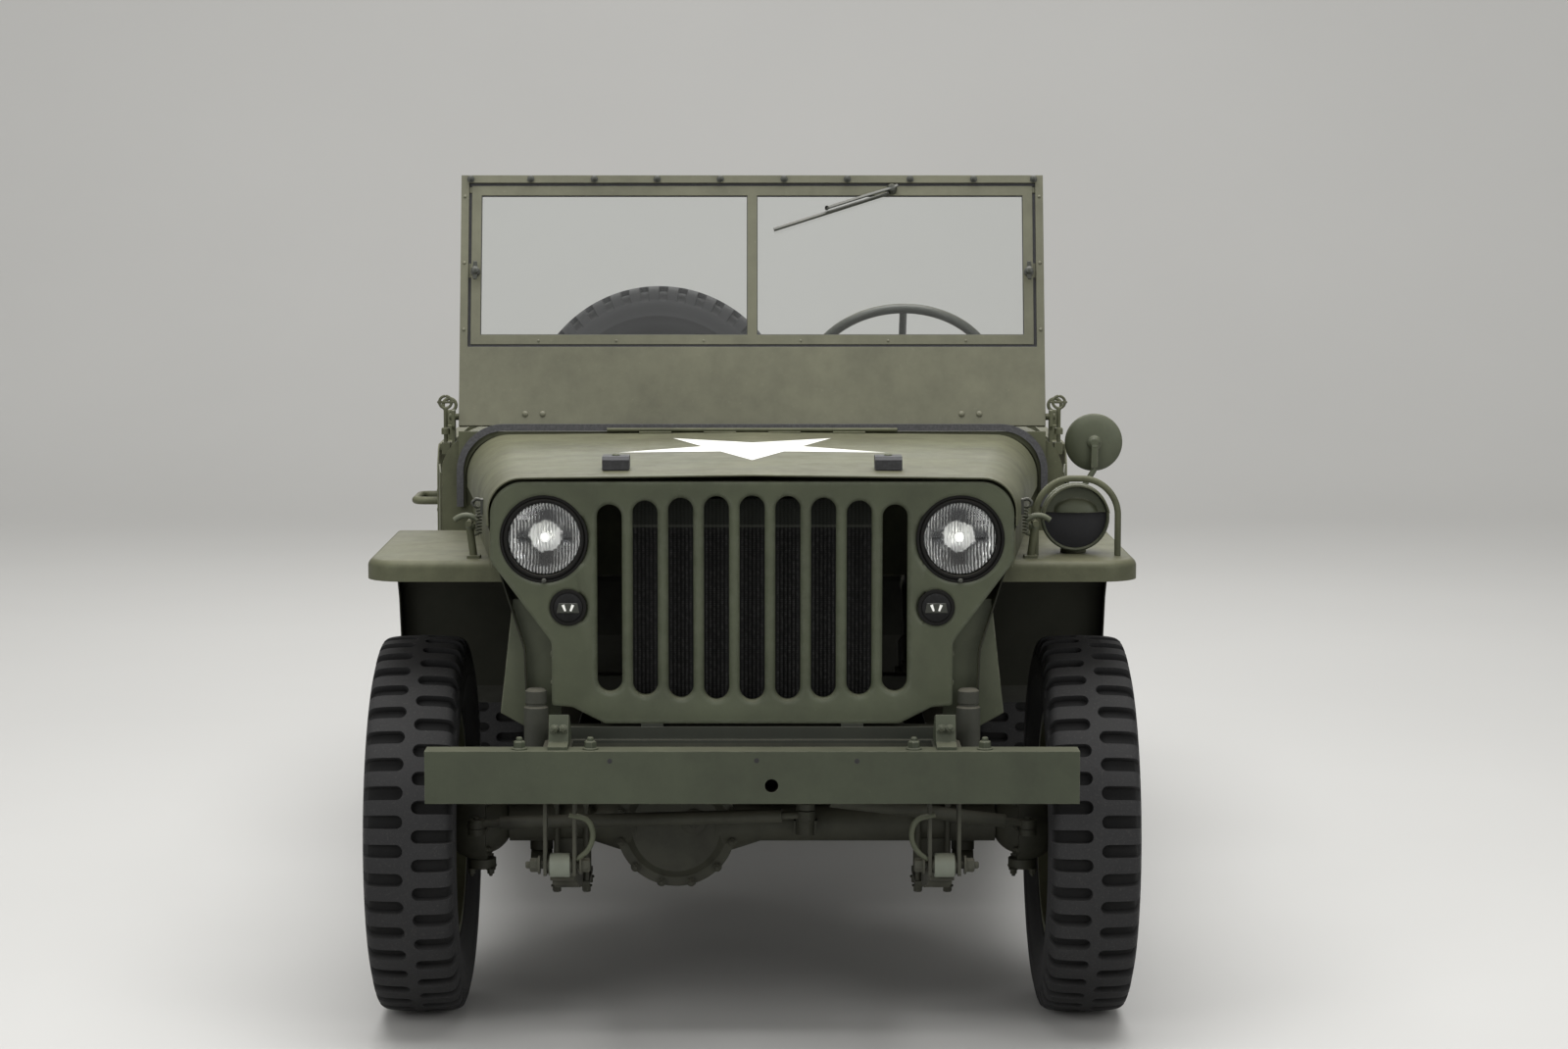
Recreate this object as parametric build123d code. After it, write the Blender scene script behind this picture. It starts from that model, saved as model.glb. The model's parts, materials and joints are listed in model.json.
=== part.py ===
from build123d import *
import math
import os

# Army 4x4 car, open body, windshield up. Millimetres. Z is up, the front of the
# car faces -Y, and the car's own left side is +X. The origin lies on the ground
# under the middle of the overall box.

# wheels and axles
wheelbase = 2032
track = 1245
front_axle_y = -1190
tyre_radius = 356          # out to the tips of the lugs
tyre_width = 168
tread_width = 140
rim_radius = 206.5
rim_width = 115
rim_wall = 4.5
flange_height = 12
disc_wall = 5
disc_offset = 28           # inner face of the wheel disc, outward of the wheel's middle
drum_radius = 123
drum_wall = 6
drum_depth = 44
hub_radius = 40
hub_length = 74
spindle_radius = 24
stud_circle = 70
stud_count = 5
stud_radius = 8
stud_height = 12
run_gap = 0.3              # clearance where one piece turns on another
seat_gap = 0.3             # clearance where a separate piece rests on another

# front axle and steering
axle_tube_radius = 35
kingpin_x = 515
ball_radius = 60
knuckle_wall = 12
backing_wall = 3
steer_arm = 125            # kingpin to rod pin, the same on knuckle and bell crank
steer_plate = 12
rod_radius = 12.5
neck_radius = 7
neck_length = 45
eye_radius = 16
eye_height = 16
eye_gap = 2
pin_radius = 6
knuckle_pin_z = 377
bell_x = 100
bell_y = -1250
bell_z = 415
link_x = 268
pitman_y = -866
pitman_length = 150
pitman_wall = 14
diff_x = -143.5
diff_radius = 105
output_z = 464

# frame
rail_x = 347
rail_width = 50
rail_wall = 4
rail_height = 84
horn_top = 570.7

# springs and dampers
spring_x = 342
spring_width = 44
leaf_thickness = 7
leaf_count = 5
front_spring_reach = 425
rear_spring_reach = 510
spring_low_z = 288
spring_eye_radius = 15
bolt_radius = 7
damper_radius = 27
damper_x = 406
damper_y = 78

# front bumper
bumper_y = -1680
bumper_half = 575.5
bumper_low = 482
bumper_high = 575
bumper_depth = 52
bumper_wall = 4
crank_hole_x = 34
crank_hole_z = 514
crank_hole_radius = 12

# radiator guard
guard_y = -1525
guard_wall = 3
guard_flange = 26
guard_half = 469
guard_top = 1036
guard_low = 600
slot_count = 9
slot_pitch = 64
slot_width = 45
slot_lip = 2.5
slot_lip_depth = 24
slot_top_middle = 1011
slot_top_side = 995
slot_low_middle = 641
slot_low_side = 657
headlamp_x = 373
headlamp_z = 933
headlamp_hole = 79
headlamp_depth = 92
lens_radius = 66
marker_x = 330
marker_z = 810
marker_radius = 32.5

# hood
hood_front_y = -1527
hood_rear_y = -632
hood_front_half = 474
hood_rear_half = 584
hood_front_top = 1049
hood_rear_top = 1059
hood_wall = 2.5
hood_crown = 6
hood_skirt_front = 92
hood_skirt_rear = 112
hood_corner = 62
hood_rear_corner = 88
rest_x = 248
rest_y = -1395
rest_length = 62
rest_width = 49
rest_height = 24
hinge_radius = 4

# fenders
fender_top = 881
fender_front_y = -1413
fender_back_y = -865
fender_half = 708
fender_inner = 452
fender_wall = 3
fender_lip = 38
fender_corner = 72
fender_edge = 14
apron_x = 408

# windshield
shield_y = -600
shield_low = 1068
shield_axis_z = 1088
shield_half = 602
shield_height = 525        # along the slope
shield_rake = 13.4
shield_panel = 164
shield_tube = 20
shield_wall = 3
inner_gap = 6
inner_rail = 20
glass_wall = 5
bar_width = 20

# body
body_half = 725.5
cowl_overhang = 40
cowl_half = shield_half + cowl_overhang
cowl_y = -612
body_full_y = 230
body_rear_y = 1470
body_wall = 3
body_low = 500
cowl_top = 1056
cowl_corner = 82
dash_y = -400
sill_z = 720
quarter_top = 965
arch_radius = 440
arch_z = 372
floor_z = 520
bed_z = 652
riser_y = 420
house_x = 496
house_top = 848
house_front_y = 385
rail_tube = 9
seal_wall = 13.8
seal_top = 1074.6
seal_low = 905
seal_corner = 98
seal_front = 16.5         # how far the front of the seal stands ahead of the cowl
seal_depth = 8
nose_half = shield_half
seal_overhang = 4
seal_half = nose_half + seal_overhang
nose_top = 1059

# steering wheel and column
wheel_x = 328
wheel_y = -64
wheel_z = 1124
wheel_rim = 208
wheel_grip = 11
column_drop = 35.1
column_radius = 20
column_length = 905

# spare wheel
spare_x = -250
spare_y = 1596
spare_z = 930

# seats
seat_x = 345
seat_y = 130
seat_z = 745
seat_size = 410
cushion_height = 75
back_height = 330
back_wall = 65
seat_tube = 13

# handles and small fittings
handle_x = 778.5
handle_rod = 9
handle_z = 835
mirror_radius = 58
mirror_x = 708
mirror_z = 1031
blackout_x = 600
blackout_y = -1290
blackout_z = 950
blackout_radius = 62
catch_x = 512
catch_y = -1353

rear_axle_y = front_axle_y + wheelbase
half_track = track / 2
axle_z = tyre_radius
nodes = {}


# helpers
def bar(x0, x1, y0, y1, z0, z1):
    middle = Pos((x0 + x1) / 2, (y0 + y1) / 2, (z0 + z1) / 2)
    return middle * Box(x1 - x0, y1 - y0, z1 - z0)


def rod(start, end, radius):
    a = Vector(*start)
    b = Vector(*end)
    place = Plane(origin=(a + b) / 2, z_dir=b - a)
    return place * Cylinder(radius, (b - a).length)


def bent_rod(points, bend, radius):
    path = FilletPolyline(*points, radius=bend)
    start = Plane(origin=path @ 0, z_dir=path % 0)
    return sweep(start * Circle(radius), path=path)


def face_of(points, bend=0):
    if bend == 0:
        return make_face(Polyline(*points, close=True))
    return make_face(FilletPolyline(*points, radius=bend, close=True))


# side outlines are drawn in (Y, Z), front ones in (X, Z), plan ones in (X, Y)
def side_plate(points, x0, x1, bend=0):
    return extrude(Plane.YZ.offset(x0) * face_of(points, bend), amount=x1 - x0)


def front_plate(points, y0, y1, bend=0):
    return extrude(Plane.XZ.offset(-y1) * face_of(points, bend), amount=y1 - y0)


def plan_plate(points, z0, z1, bend=0):
    return extrude(Plane.XY.offset(z0) * face_of(points, bend), amount=z1 - z0)


def lathe_x(points, x=0, y=0, z=0):
    # points are (along X, radius)
    turned = revolve(face_of(points), axis=Axis.X)
    return Pos(x, y, z) * turned


def twin(shape):
    return shape + mirror(shape, about=Plane.YZ)


def shifted(points, dy=0, dz=0):
    return [(a + dy, b + dz) for a, b in points]


def band(points, drop):
    return points + list(reversed(shifted(points, 0, -drop)))


# tyres, wheels and hubs, drawn with the outer side towards +X
def tyre():
    half = tyre_width / 2
    seat = rim_width / 2
    bead = rim_radius + 0.5
    shoulder = tyre_radius - 46
    waist = tyre_radius - 96
    top = bead + flange_height + 3
    right = [(seat, bead), (seat, top), (half, waist), (half, shoulder)]
    right = right + [(tread_width / 2, tyre_radius)]
    left = [(-a, b) for a, b in reversed(right)]
    return lathe_x(right + left)


def wheel():
    seat = rim_width / 2 + 0.3
    outer = seat + rim_wall
    inside = rim_radius - rim_wall
    lip = rim_radius + flange_height
    barrel = [(-outer, inside), (outer, inside), (outer, lip), (seat, lip)]
    barrel = barrel + [(seat, rim_radius), (-seat, rim_radius), (-seat, lip), (-outer, lip)]
    face = disc_offset
    dish = face - 18
    disc = [(face, hub_radius + 1), (face + disc_wall, hub_radius + 1)]
    disc = disc + [(face + disc_wall, drum_radius + 6), (dish + disc_wall, 168)]
    disc = disc + [(dish + disc_wall, inside + 1), (dish, inside + 1)]
    disc = disc + [(dish, 166), (face, drum_radius + 4)]
    made = lathe_x(barrel) + lathe_x(disc)
    for turn in range(stud_count):
        angle = math.radians(turn * 360 / stud_count)
        y = stud_circle * math.sin(angle)
        z = stud_circle * math.cos(angle)
        start = face + disc_wall - 1
        made = made + rod((start, y, z), (start + stud_height, y, z), stud_radius)
    return made


def hub():
    back = disc_offset - drum_depth
    bore = spindle_radius + run_gap
    nose = back + 2 + hub_length
    shell = [(back, drum_radius - drum_wall), (back, drum_radius), (disc_offset, drum_radius)]
    shell = shell + [(disc_offset, hub_radius), (nose, hub_radius), (nose + 12, hub_radius - 12)]
    shell = shell + [(nose + 12, 0), (nose, 0), (nose, bore), (back + 2, bore)]
    shell = shell + [(back + 2, hub_radius), (disc_offset - drum_wall, hub_radius)]
    shell = shell + [(disc_offset - drum_wall, drum_radius - drum_wall)]
    return lathe_x(shell)


wheel_places = [
    ("front_left", 1, front_axle_y),
    ("front_right", -1, front_axle_y),
    ("rear_left", 1, rear_axle_y),
    ("rear_right", -1, rear_axle_y),
]
for name, side, y in wheel_places:
    for kind, made in (("tyre", tyre()), ("wheel", wheel() + hub())):
        placed = Pos(half_track, y, axle_z) * made
        if side < 0:
            placed = mirror(placed, about=Plane.YZ)
        nodes[kind + "_" + name] = placed

spare_turn = Pos(spare_x, spare_y, spare_z) * Rot(0, 0, 90)
nodes["spare_tyre"] = spare_turn * tyre()
nodes["spare_wheel"] = spare_turn * wheel()


# axles. The ball at each front end carries the knuckle.
def housing(y, cover_side):
    place = Pos(diff_x, y, axle_z)
    bowl = Rot(90, 0, 0) * Cylinder(diff_radius, 118)
    bowl = chamfer(bowl.edges().filter_by(GeomType.CIRCLE), 22)
    neck = Rot(0, 90, 0) * Cone(62, axle_tube_radius, 84)
    made = bowl + Pos(diff_radius + 12, 0, 0) * neck
    made = made + Pos(-diff_radius - 12, 0, 0) * (Rot(0, 180, 0) * neck)
    flange = Pos(0, cover_side * 40, 0) * (Rot(90, 0, 0) * Cylinder(diff_radius + 9, 10))
    nose_start = (0, -cover_side * 40, 0)
    nose_end = (0, -cover_side * 150, 0)
    made = made + flange + rod(nose_start, nose_end, 42)
    plug = rod((34, cover_side * 56, 12), (34, cover_side * 66, 12), 13)
    return place * (made + plug)


tube_end = kingpin_x - ball_radius + 6
front_tube = rod((-tube_end, front_axle_y, axle_z), (tube_end, front_axle_y, axle_z), axle_tube_radius)
balls = twin(Pos(kingpin_x, front_axle_y, axle_z) * Sphere(ball_radius))
bell_post = rod((bell_x, bell_y, axle_z - 12), (bell_x, bell_y, bell_z - seat_gap), 17)
bell_arm = bar(bell_x - 22, bell_x + 22, bell_y, front_axle_y, axle_z - 12, axle_z + 14)
bell_pivot = rod((bell_x, bell_y, axle_z), (bell_x, bell_y, bell_z + 30), pin_radius + 3)
nodes["front_axle"] = front_tube + balls + housing(front_axle_y, -1) + bell_post + bell_arm + bell_pivot

rear_end = half_track + disc_offset - drum_depth - backing_wall - 4
rear_tube = rod((-rear_end, rear_axle_y, axle_z), (rear_end, rear_axle_y, axle_z), axle_tube_radius + 3)
spindle_tip = half_track + disc_offset - drum_depth + hub_length - 6
rear_spindles = rod((-spindle_tip, rear_axle_y, axle_z), (spindle_tip, rear_axle_y, axle_z), spindle_radius)
plate_x = rear_end
rear_plates = twin(
    rod((plate_x, rear_axle_y, axle_z), (plate_x + backing_wall, rear_axle_y, axle_z), drum_radius - 1),
)
nodes["rear_axle"] = rear_tube + rear_spindles + rear_plates + housing(rear_axle_y, 1)


# knuckles: a cup round the ball, king pins, steering arm, backing plate and spindle
def knuckle():
    cup_out = ball_radius + run_gap + knuckle_wall
    room = 3 * cup_out
    cup = Sphere(cup_out) & Pos(room / 2 - 12, 0, 0) * Box(room, room, room)
    cup = cup - Sphere(ball_radius + run_gap)
    plate_at = half_track - kingpin_x + disc_offset - drum_depth - backing_wall - 1
    plate_end = plate_at + backing_wall
    tip = half_track - kingpin_x + disc_offset - drum_depth + hub_length - 6
    r = spindle_radius
    axle_end = [(ball_radius + 6, 0), (ball_radius + 6, r), (plate_at, r), (plate_at, drum_radius - 1)]
    axle_end = axle_end + [(plate_end, drum_radius - 1), (plate_end, r), (tip, r), (tip, 0)]
    made = cup + lathe_x(axle_end)
    for end in (1, -1):
        made = made + rod((0, 0, end * (cup_out - 4)), (0, 0, end * (cup_out + 14)), 27)
    arm_low = knuckle_pin_z - axle_z - eye_height / 2 - 1 - steer_plate
    arm = bar(-15, 15, -steer_arm, -cup_out + 8, arm_low, arm_low + steer_plate)
    arm = arm + rod((0, -steer_arm, arm_low), (0, -steer_arm, arm_low + steer_plate), eye_radius)
    pin_top = arm_low + steer_plate + eye_height + 6
    arm = arm + rod((0, -steer_arm, arm_low), (0, -steer_arm, pin_top), pin_radius)
    return Pos(kingpin_x, front_axle_y, axle_z) * (made + arm)


nodes["knuckle_left"] = knuckle()
nodes["knuckle_right"] = mirror(knuckle(), about=Plane.YZ)

# bell crank: one arm forward for both tie rods, one arm to the left for the drag link
pin_y = bell_y - steer_arm
bell = rod((bell_x, bell_y, bell_z), (bell_x, bell_y, bell_z + 26), 23)
bell = bell + bar(bell_x - 15, bell_x + 15, pin_y, bell_y, bell_z, bell_z + steer_plate)
bell = bell + bar(bell_x, bell_x + steer_arm, bell_y - 15, bell_y + 15, bell_z, bell_z + steer_plate)
bell = bell + rod((bell_x, pin_y, bell_z), (bell_x, pin_y, bell_z + steer_plate), eye_radius)
link_pin = bell_x + steer_arm
bell = bell + rod((link_pin, bell_y, bell_z), (link_pin, bell_y, bell_z + steer_plate), eye_radius)
rod_reach = eye_height + 5
bell = bell + rod(
    (bell_x, pin_y, bell_z - rod_reach), (bell_x, pin_y, bell_z + steer_plate + rod_reach),
    pin_radius,
)
bell = bell + rod(
    (link_pin, bell_y, bell_z), (link_pin, bell_y, bell_z + steer_plate + rod_reach), pin_radius,
)
pivot_hole = rod((bell_x, bell_y, bell_z - 5), (bell_x, bell_y, bell_z + 40), pin_radius + 3 + run_gap)
nodes["bell_crank"] = bell - pivot_hole


def eye(x, y, z):
    ring = rod((x, y, z - eye_height / 2), (x, y, z + eye_height / 2), eye_radius)
    hole = rod((x, y, z - eye_height), (x, y, z + eye_height), pin_radius + run_gap)
    return ring - hole


def link(start, end, start_eye, end_eye):
    a = Vector(*start)
    b = Vector(*end)
    way = (b - a).normalized()
    made = rod(a + way * neck_length, b - way * neck_length, rod_radius)
    first = pin_radius + 4
    made = made + rod(a + way * first, a + way * (neck_length + 4), neck_radius)
    made = made + rod(b - way * (neck_length + 4), b - way * first, neck_radius)
    if start_eye:
        made = made + eye(*start)
    if end_eye:
        made = made + eye(*end)
    return made


upper_eye = bell_z + steer_plate + eye_gap + eye_height / 2
lower_eye = bell_z - eye_gap - eye_height / 2
knuckle_pin_y = front_axle_y - steer_arm
nodes["tie_rod_left"] = link(
    (kingpin_x, knuckle_pin_y, knuckle_pin_z), (bell_x, pin_y, upper_eye), True, True,
)
nodes["tie_rod_right"] = link(
    (-kingpin_x, knuckle_pin_y, knuckle_pin_z), (bell_x, pin_y, lower_eye), True, True,
)

# drag link, open at its rear eye, which lies beside the foot of the drop arm
link_end = (link_x, pitman_y, upper_eye)
drag = link((link_pin, bell_y, upper_eye), link_end, True, False)
drag = drag + rod((link_x - 14, pitman_y, upper_eye), (link_x + 14, pitman_y, upper_eye), eye_radius)
nodes["drag_link"] = drag

# drop arm of the steering box
arm_x = link_x + 14 + 0.6
pivot_z = upper_eye + pitman_length
drop = rod((arm_x, pitman_y, upper_eye), (arm_x + pitman_wall, pitman_y, upper_eye), eye_radius)
drop = drop + rod((arm_x, pitman_y, pivot_z), (arm_x + pitman_wall, pitman_y, pivot_z), 22)
taper = [
    (pitman_y - 13, upper_eye), (pitman_y + 13, upper_eye), (pitman_y + 20, pivot_z),
    (pitman_y - 20, pivot_z),
]
nodes["drop_arm"] = drop + side_plate(taper, arm_x, arm_x + pitman_wall)

# steering box and column
box_x = arm_x + pitman_wall + 0.5
box = rod((box_x, pitman_y, pivot_z), (box_x + 58, pitman_y, pivot_z), 34)
slope = math.radians(column_drop)
fore = -math.cos(slope)
down = -math.sin(slope)


def on_column(distance):
    return (wheel_x, wheel_y + fore * distance, wheel_z + down * distance)


boss_half = 22
column = rod(on_column(boss_half + seat_gap), on_column(column_length), column_radius)
box = box + rod(on_column(column_length - 60), on_column(column_length + 40), 34)
bracket = bar(box_x + 10, rail_x + 14, pitman_y - 30, pitman_y + 45, 546.5, pivot_z - 14)
nodes["steering_column"] = column + box + bracket

# steering wheel with three spokes
lay = Plane(origin=(wheel_x, wheel_y, wheel_z), x_dir=(1, 0, 0), z_dir=(0, -fore, -down))
grip = Torus(wheel_rim, wheel_grip)
boss = Cylinder(33, 2 * boss_half)
spokes = boss
for turn in (270, 30, 150):
    angle = math.radians(turn)
    tip = (wheel_rim * math.cos(angle), wheel_rim * math.sin(angle), 0)
    spokes = spokes + rod((22 * math.cos(angle), 22 * math.sin(angle), -6), tip, 8)
nodes["steering_wheel"] = lay * (grip + spokes)

# frame: two channel rails open inwards, kicked up over the rear axle
rail_line = [
    (bumper_y + bumper_wall + seat_gap, horn_top),
    (-1020, horn_top),
    (-700, 505),
    (430, 505),
    (640, 600),
    (1060, 600),
    (1440, 560),
]
rail = side_plate(band(rail_line, rail_height), rail_x - rail_width / 2, rail_x + rail_width / 2)
hollow = band(shifted(rail_line, 0, -rail_wall), rail_height - 2 * rail_wall)
hollow = side_plate(hollow, rail_x - rail_width / 2 - 1, rail_x + rail_width / 2 - rail_wall)
rails = twin(rail - hollow)
rail_inner = rail_x - rail_width / 2 + 6
# cross-members: y, half depth, low, high
cross_members = [
    (-1500, 38, 490, 571.7),
    (300, 34, 446, 501),
    (1395, 30, 482, 556),
]
frame = rails
for y, half, low, high in cross_members:
    beam = bar(-rail_inner, rail_inner, y - half, y + half, low, high)
    frame = frame + beam
frame = frame + bar(-rail_x - 20, rail_x + 20, -290, -170, 398, 423)
# stone tray under the radiator guard
frame = frame + bar(-rail_inner, rail_inner, bumper_y + 154, -1488, 571, guard_low - 6)
# pads under the body and feet for the radiator guard: x, y, low, high
pads = [
    (rail_x, -470, 500, floor_z - 3 - seat_gap),
    (rail_x, 250, 500, floor_z - 3 - seat_gap),
    (rail_x, 700, 598, bed_z - 3 - seat_gap),
    (rail_x, 1330, 565, bed_z - 3 - seat_gap),
    (180, -1512, 560, guard_low - seat_gap),
]
for x, y, low, high in pads:
    frame = frame + twin(bar(x - 20, x + 20, y - 13, y + 13, low, high))


# springs: leaves of one bow, longest on top, with an eye at each end
def spring(y, reach, eye_z):
    rise = eye_z - spring_low_z
    bow = (reach * reach + rise * rise) / (2 * rise)
    middle_z = spring_low_z + bow
    made = None
    for leaf in range(leaf_count):
        outer = bow + leaf * leaf_thickness + leaf_thickness
        inner = outer - leaf_thickness
        share = 1 - leaf * 0.17
        spread = math.asin(reach / bow) * share
        points = []
        for radius in (inner, outer):
            left = (y - radius * math.sin(spread), middle_z - radius * math.cos(spread))
            right = (y + radius * math.sin(spread), middle_z - radius * math.cos(spread))
            points.append((left, (y, middle_z - radius), right))
        low_arc = ThreePointArc(*points[0])
        high_arc = ThreePointArc(*points[1])
        edges = [low_arc, high_arc]
        edges.append(Line(points[0][0], points[1][0]))
        edges.append(Line(points[0][2], points[1][2]))
        face = Plane.YZ.offset(spring_x - spring_width / 2) * make_face(edges)
        strip = extrude(face, amount=spring_width)
        made = strip if made is None else made + strip
    half = spring_width / 2
    for end in (y - reach, y + reach):
        ring = rod((spring_x - half, end, eye_z + 8), (spring_x + half, end, eye_z + 8), spring_eye_radius)
        hole = rod((spring_x - 60, end, eye_z + 8), (spring_x + 60, end, eye_z + 8), bolt_radius + run_gap)
        made = made + ring - hole
    return made


front_eye_z = 352
rear_eye_z = 385
springs = spring(front_axle_y, front_spring_reach, front_eye_z)
springs = springs + spring(rear_axle_y, rear_spring_reach, rear_eye_z)
nodes["leaf_springs"] = twin(springs)


# spring hangers and shackles, and the plates that clamp each spring to its axle
def hanger(y, eye_z, top_z, lean):
    made = None
    inner = spring_x - spring_width / 2 - 1
    for x in (inner - 6, inner + spring_width + 2):
        points = [(y - 17, eye_z - 18), (y + 17, eye_z - 18)]
        points = points + [(y + lean + 22, top_z), (y + lean - 22, top_z)]
        cheek = side_plate(points, x, x + 6, 6)
        made = cheek if made is None else made + cheek
    bolt = rod((inner - 14, y, eye_z), (inner + spring_width + 16, y, eye_z), bolt_radius)
    cap_low = bar(inner - 6, inner + spring_width + 8, y + lean - 20, y + lean + 20, top_z - 6, top_z + 2)
    return made + bolt + cap_low


def clamp(y, tube):
    inner = spring_x - spring_width / 2 - 12
    outer = spring_x + spring_width / 2 + 12
    low = spring_low_z - leaf_count * leaf_thickness
    made = bar(inner, outer, y - 52, y + damper_y + 17, low - 10, low - seat_gap)
    made = made + bar(outer - 8, outer, y + damper_y - 17, y + damper_y + 17, low - 10, low + 36)
    for side in (-1, 1):
        bolt_y = y + side * (tube + 7)
        for x in (inner + 6, outer - 6):
            made = made + rod((x, bolt_y, low - 16), (x, bolt_y, axle_z + tube + 7), 5.5)
            across = (x, y - tube - 12, axle_z + tube + 7), (x, y + tube + 12, axle_z + tube + 7)
            made = made + rod(across[0], across[1], 5.5)
    saddle = bar(spring_x - 24, spring_x + 24, y - 24, y + 24, spring_low_z + 0.5, axle_z - tube + 8)
    return made, saddle - rod((200, y, axle_z), (500, y, axle_z), tube + seat_gap)


hangers = hanger(front_axle_y - front_spring_reach, front_eye_z + 8, horn_top - rail_height, 14)
hangers = hangers + hanger(front_axle_y + front_spring_reach, front_eye_z + 8, 434, 0)
hangers = hangers + hanger(rear_axle_y - rear_spring_reach, rear_eye_z + 8, 421, 0)
hangers = hangers + hanger(rear_axle_y + rear_spring_reach, rear_eye_z + 8, 486, -14)
nodes["frame"] = frame + twin(hangers)
front_clamp, front_saddle = clamp(front_axle_y, axle_tube_radius)
rear_clamp, rear_saddle = clamp(rear_axle_y, axle_tube_radius + 3)
nodes["spring_clamps"] = twin(front_clamp + front_saddle + rear_clamp + rear_saddle)


# dampers: lower eye on the clamp plate, upper eye on a bracket at the rail
def damper(y, lean, top_z):
    low_z = spring_low_z - leaf_count * leaf_thickness + 6
    foot = (damper_x, y, low_z + 12)
    head = (damper_x, y + lean, top_z)
    a = Vector(*foot)
    b = Vector(*head)
    way = (b - a).normalized()
    span = (b - a).length
    made = rod(a + way * 18, a + way * (span * 0.55), damper_radius - 5)
    made = made + rod(a + way * (span * 0.5), b - way * 16, damper_radius)
    for centre in (a, b):
        made = made + rod((damper_x - 20, centre.Y, centre.Z), (damper_x + 20, centre.Y, centre.Z), 17)
    x_in = spring_x + spring_width / 2 + 12 + seat_gap
    made = made + rod((x_in, a.Y, a.Z), (damper_x, a.Y, a.Z), 8)
    made = made + rod((rail_x + rail_width / 2 + seat_gap, b.Y, b.Z), (damper_x, b.Y, b.Z), 8)
    return made


dampers = damper(front_axle_y + damper_y, 24, 540) + damper(rear_axle_y + damper_y, 60, 566)
nodes["dampers"] = twin(dampers)

# front bumper: a channel open to the rear, with the starting-crank hole
outline = [
    (bumper_y, bumper_low),
    (bumper_y + bumper_depth, bumper_low),
    (bumper_y + bumper_depth, bumper_low + bumper_wall),
    (bumper_y + bumper_wall, bumper_low + bumper_wall),
    (bumper_y + bumper_wall, bumper_high - bumper_wall),
    (bumper_y + bumper_depth, bumper_high - bumper_wall),
    (bumper_y + bumper_depth, bumper_high),
    (bumper_y, bumper_high),
]
bumper = side_plate(outline, -bumper_half, bumper_half)
crank_start = (crank_hole_x, bumper_y - 5, crank_hole_z)
crank_end = (crank_hole_x, bumper_y + 10, crank_hole_z)
bumper = bumper - rod(crank_start, crank_end, crank_hole_radius)

# gussets that tie the bumper to the horns of the frame
gusset = [
    (bumper_y + 12, bumper_high - 1),
    (bumper_y + 150, bumper_high - 1),
    (bumper_y + 150, bumper_high + 8),
    (bumper_y + 96, bumper_high + 48),
    (bumper_y + 60, bumper_high + 56),
    (bumper_y + 44, bumper_high + 10),
    (bumper_y + 12, bumper_high + 6),
]
gussets = side_plate(gusset, rail_x - 22, rail_x + 13)
nodes["front_bumper"] = bumper + twin(gussets)


# radiator guard: one pressed plate with nine slots, lamp holes and a turned rim
def slot(x, top, low, width, y0, y1):
    r = width / 2 - 0.01
    points = [(x - width / 2, low), (x + width / 2, low), (x + width / 2, top), (x - width / 2, top)]
    return front_plate(points, y0, y1, r)


def guard_outline(inset):
    i = inset
    right = [
        (264, guard_low + i),
        (323 - i * 0.6, 630 + i * 0.4),
        (360 - i, 633 + i),
        (360 - i, 748 - i * 0.3),
        (guard_half - i, 894 - i * 0.3),
        (guard_half - i, guard_top - i),
    ]
    left = [(-a, b) for a, b in reversed(right)]
    return right + left


guard_bends = [8, 8, 6, 20, 20, 60, 60, 20, 20, 6, 8, 8]
guard = front_plate(guard_outline(0), guard_y, guard_y + guard_flange, guard_bends)
inner_bends = [6, 6, 5, 20, 20, 57, 57, 20, 20, 5, 6, 6]
guard = guard - front_plate(guard_outline(guard_wall), guard_y + guard_wall, guard_y + 100, inner_bends)
last = (slot_count - 1) / 2
for index in range(slot_count):
    place = index - last
    share = (abs(place) / last) ** 2
    top = slot_top_middle + (slot_top_side - slot_top_middle) * share
    low = slot_low_middle + (slot_low_side - slot_low_middle) * share
    x = place * slot_pitch
    lip = slot_lip
    guard = guard + slot(x, top + lip, low - lip, slot_width + 2 * lip, guard_y + 1, guard_y + slot_lip_depth)
    guard = guard - slot(x, top, low, slot_width, guard_y - 5, guard_y + 50)
for side in (1, -1):
    lamp = rod(
        (side * headlamp_x, guard_y - 5, headlamp_z),
        (side * headlamp_x, guard_y + 9, headlamp_z), headlamp_hole,
    )
    marker = rod(
        (side * marker_x, guard_y - 5, marker_z), (side * marker_x, guard_y + 9, marker_z),
        marker_radius + 0.6,
    )
    guard = guard - lamp - marker
nodes["radiator_guard"] = guard


# headlamps: bucket with a black ring, glass in front. Drawn along +Y from the face.
def lamp_bucket(radius, depth, wall):
    points = [(0, radius), (0, radius - 4), (4, radius - 4), (4, radius - 11), (16, radius - 11)]
    points = points + [(16, radius - wall - 9), (depth * 0.6, radius - wall - 14), (depth - wall, 20)]
    points = points + [
        (depth - wall, 0), (depth, 0), (depth, 26), (depth * 0.62, radius - 12),
        (20, radius - 4), (20, radius),
    ]
    return revolve(face_of(points), axis=Axis.X)


def lens(radius, bulge):
    rise = (radius * radius + bulge * bulge) / (2 * bulge)
    front = Pos(rise - bulge, 0, 0) * Sphere(rise)
    back = Pos(rise - bulge + 4, 0, 0) * Sphere(rise)
    disc = Pos(0, 0, 0) * (Rot(0, 90, 0) * Cylinder(radius, 2 * bulge + 10))
    return (front - back) & disc


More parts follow.
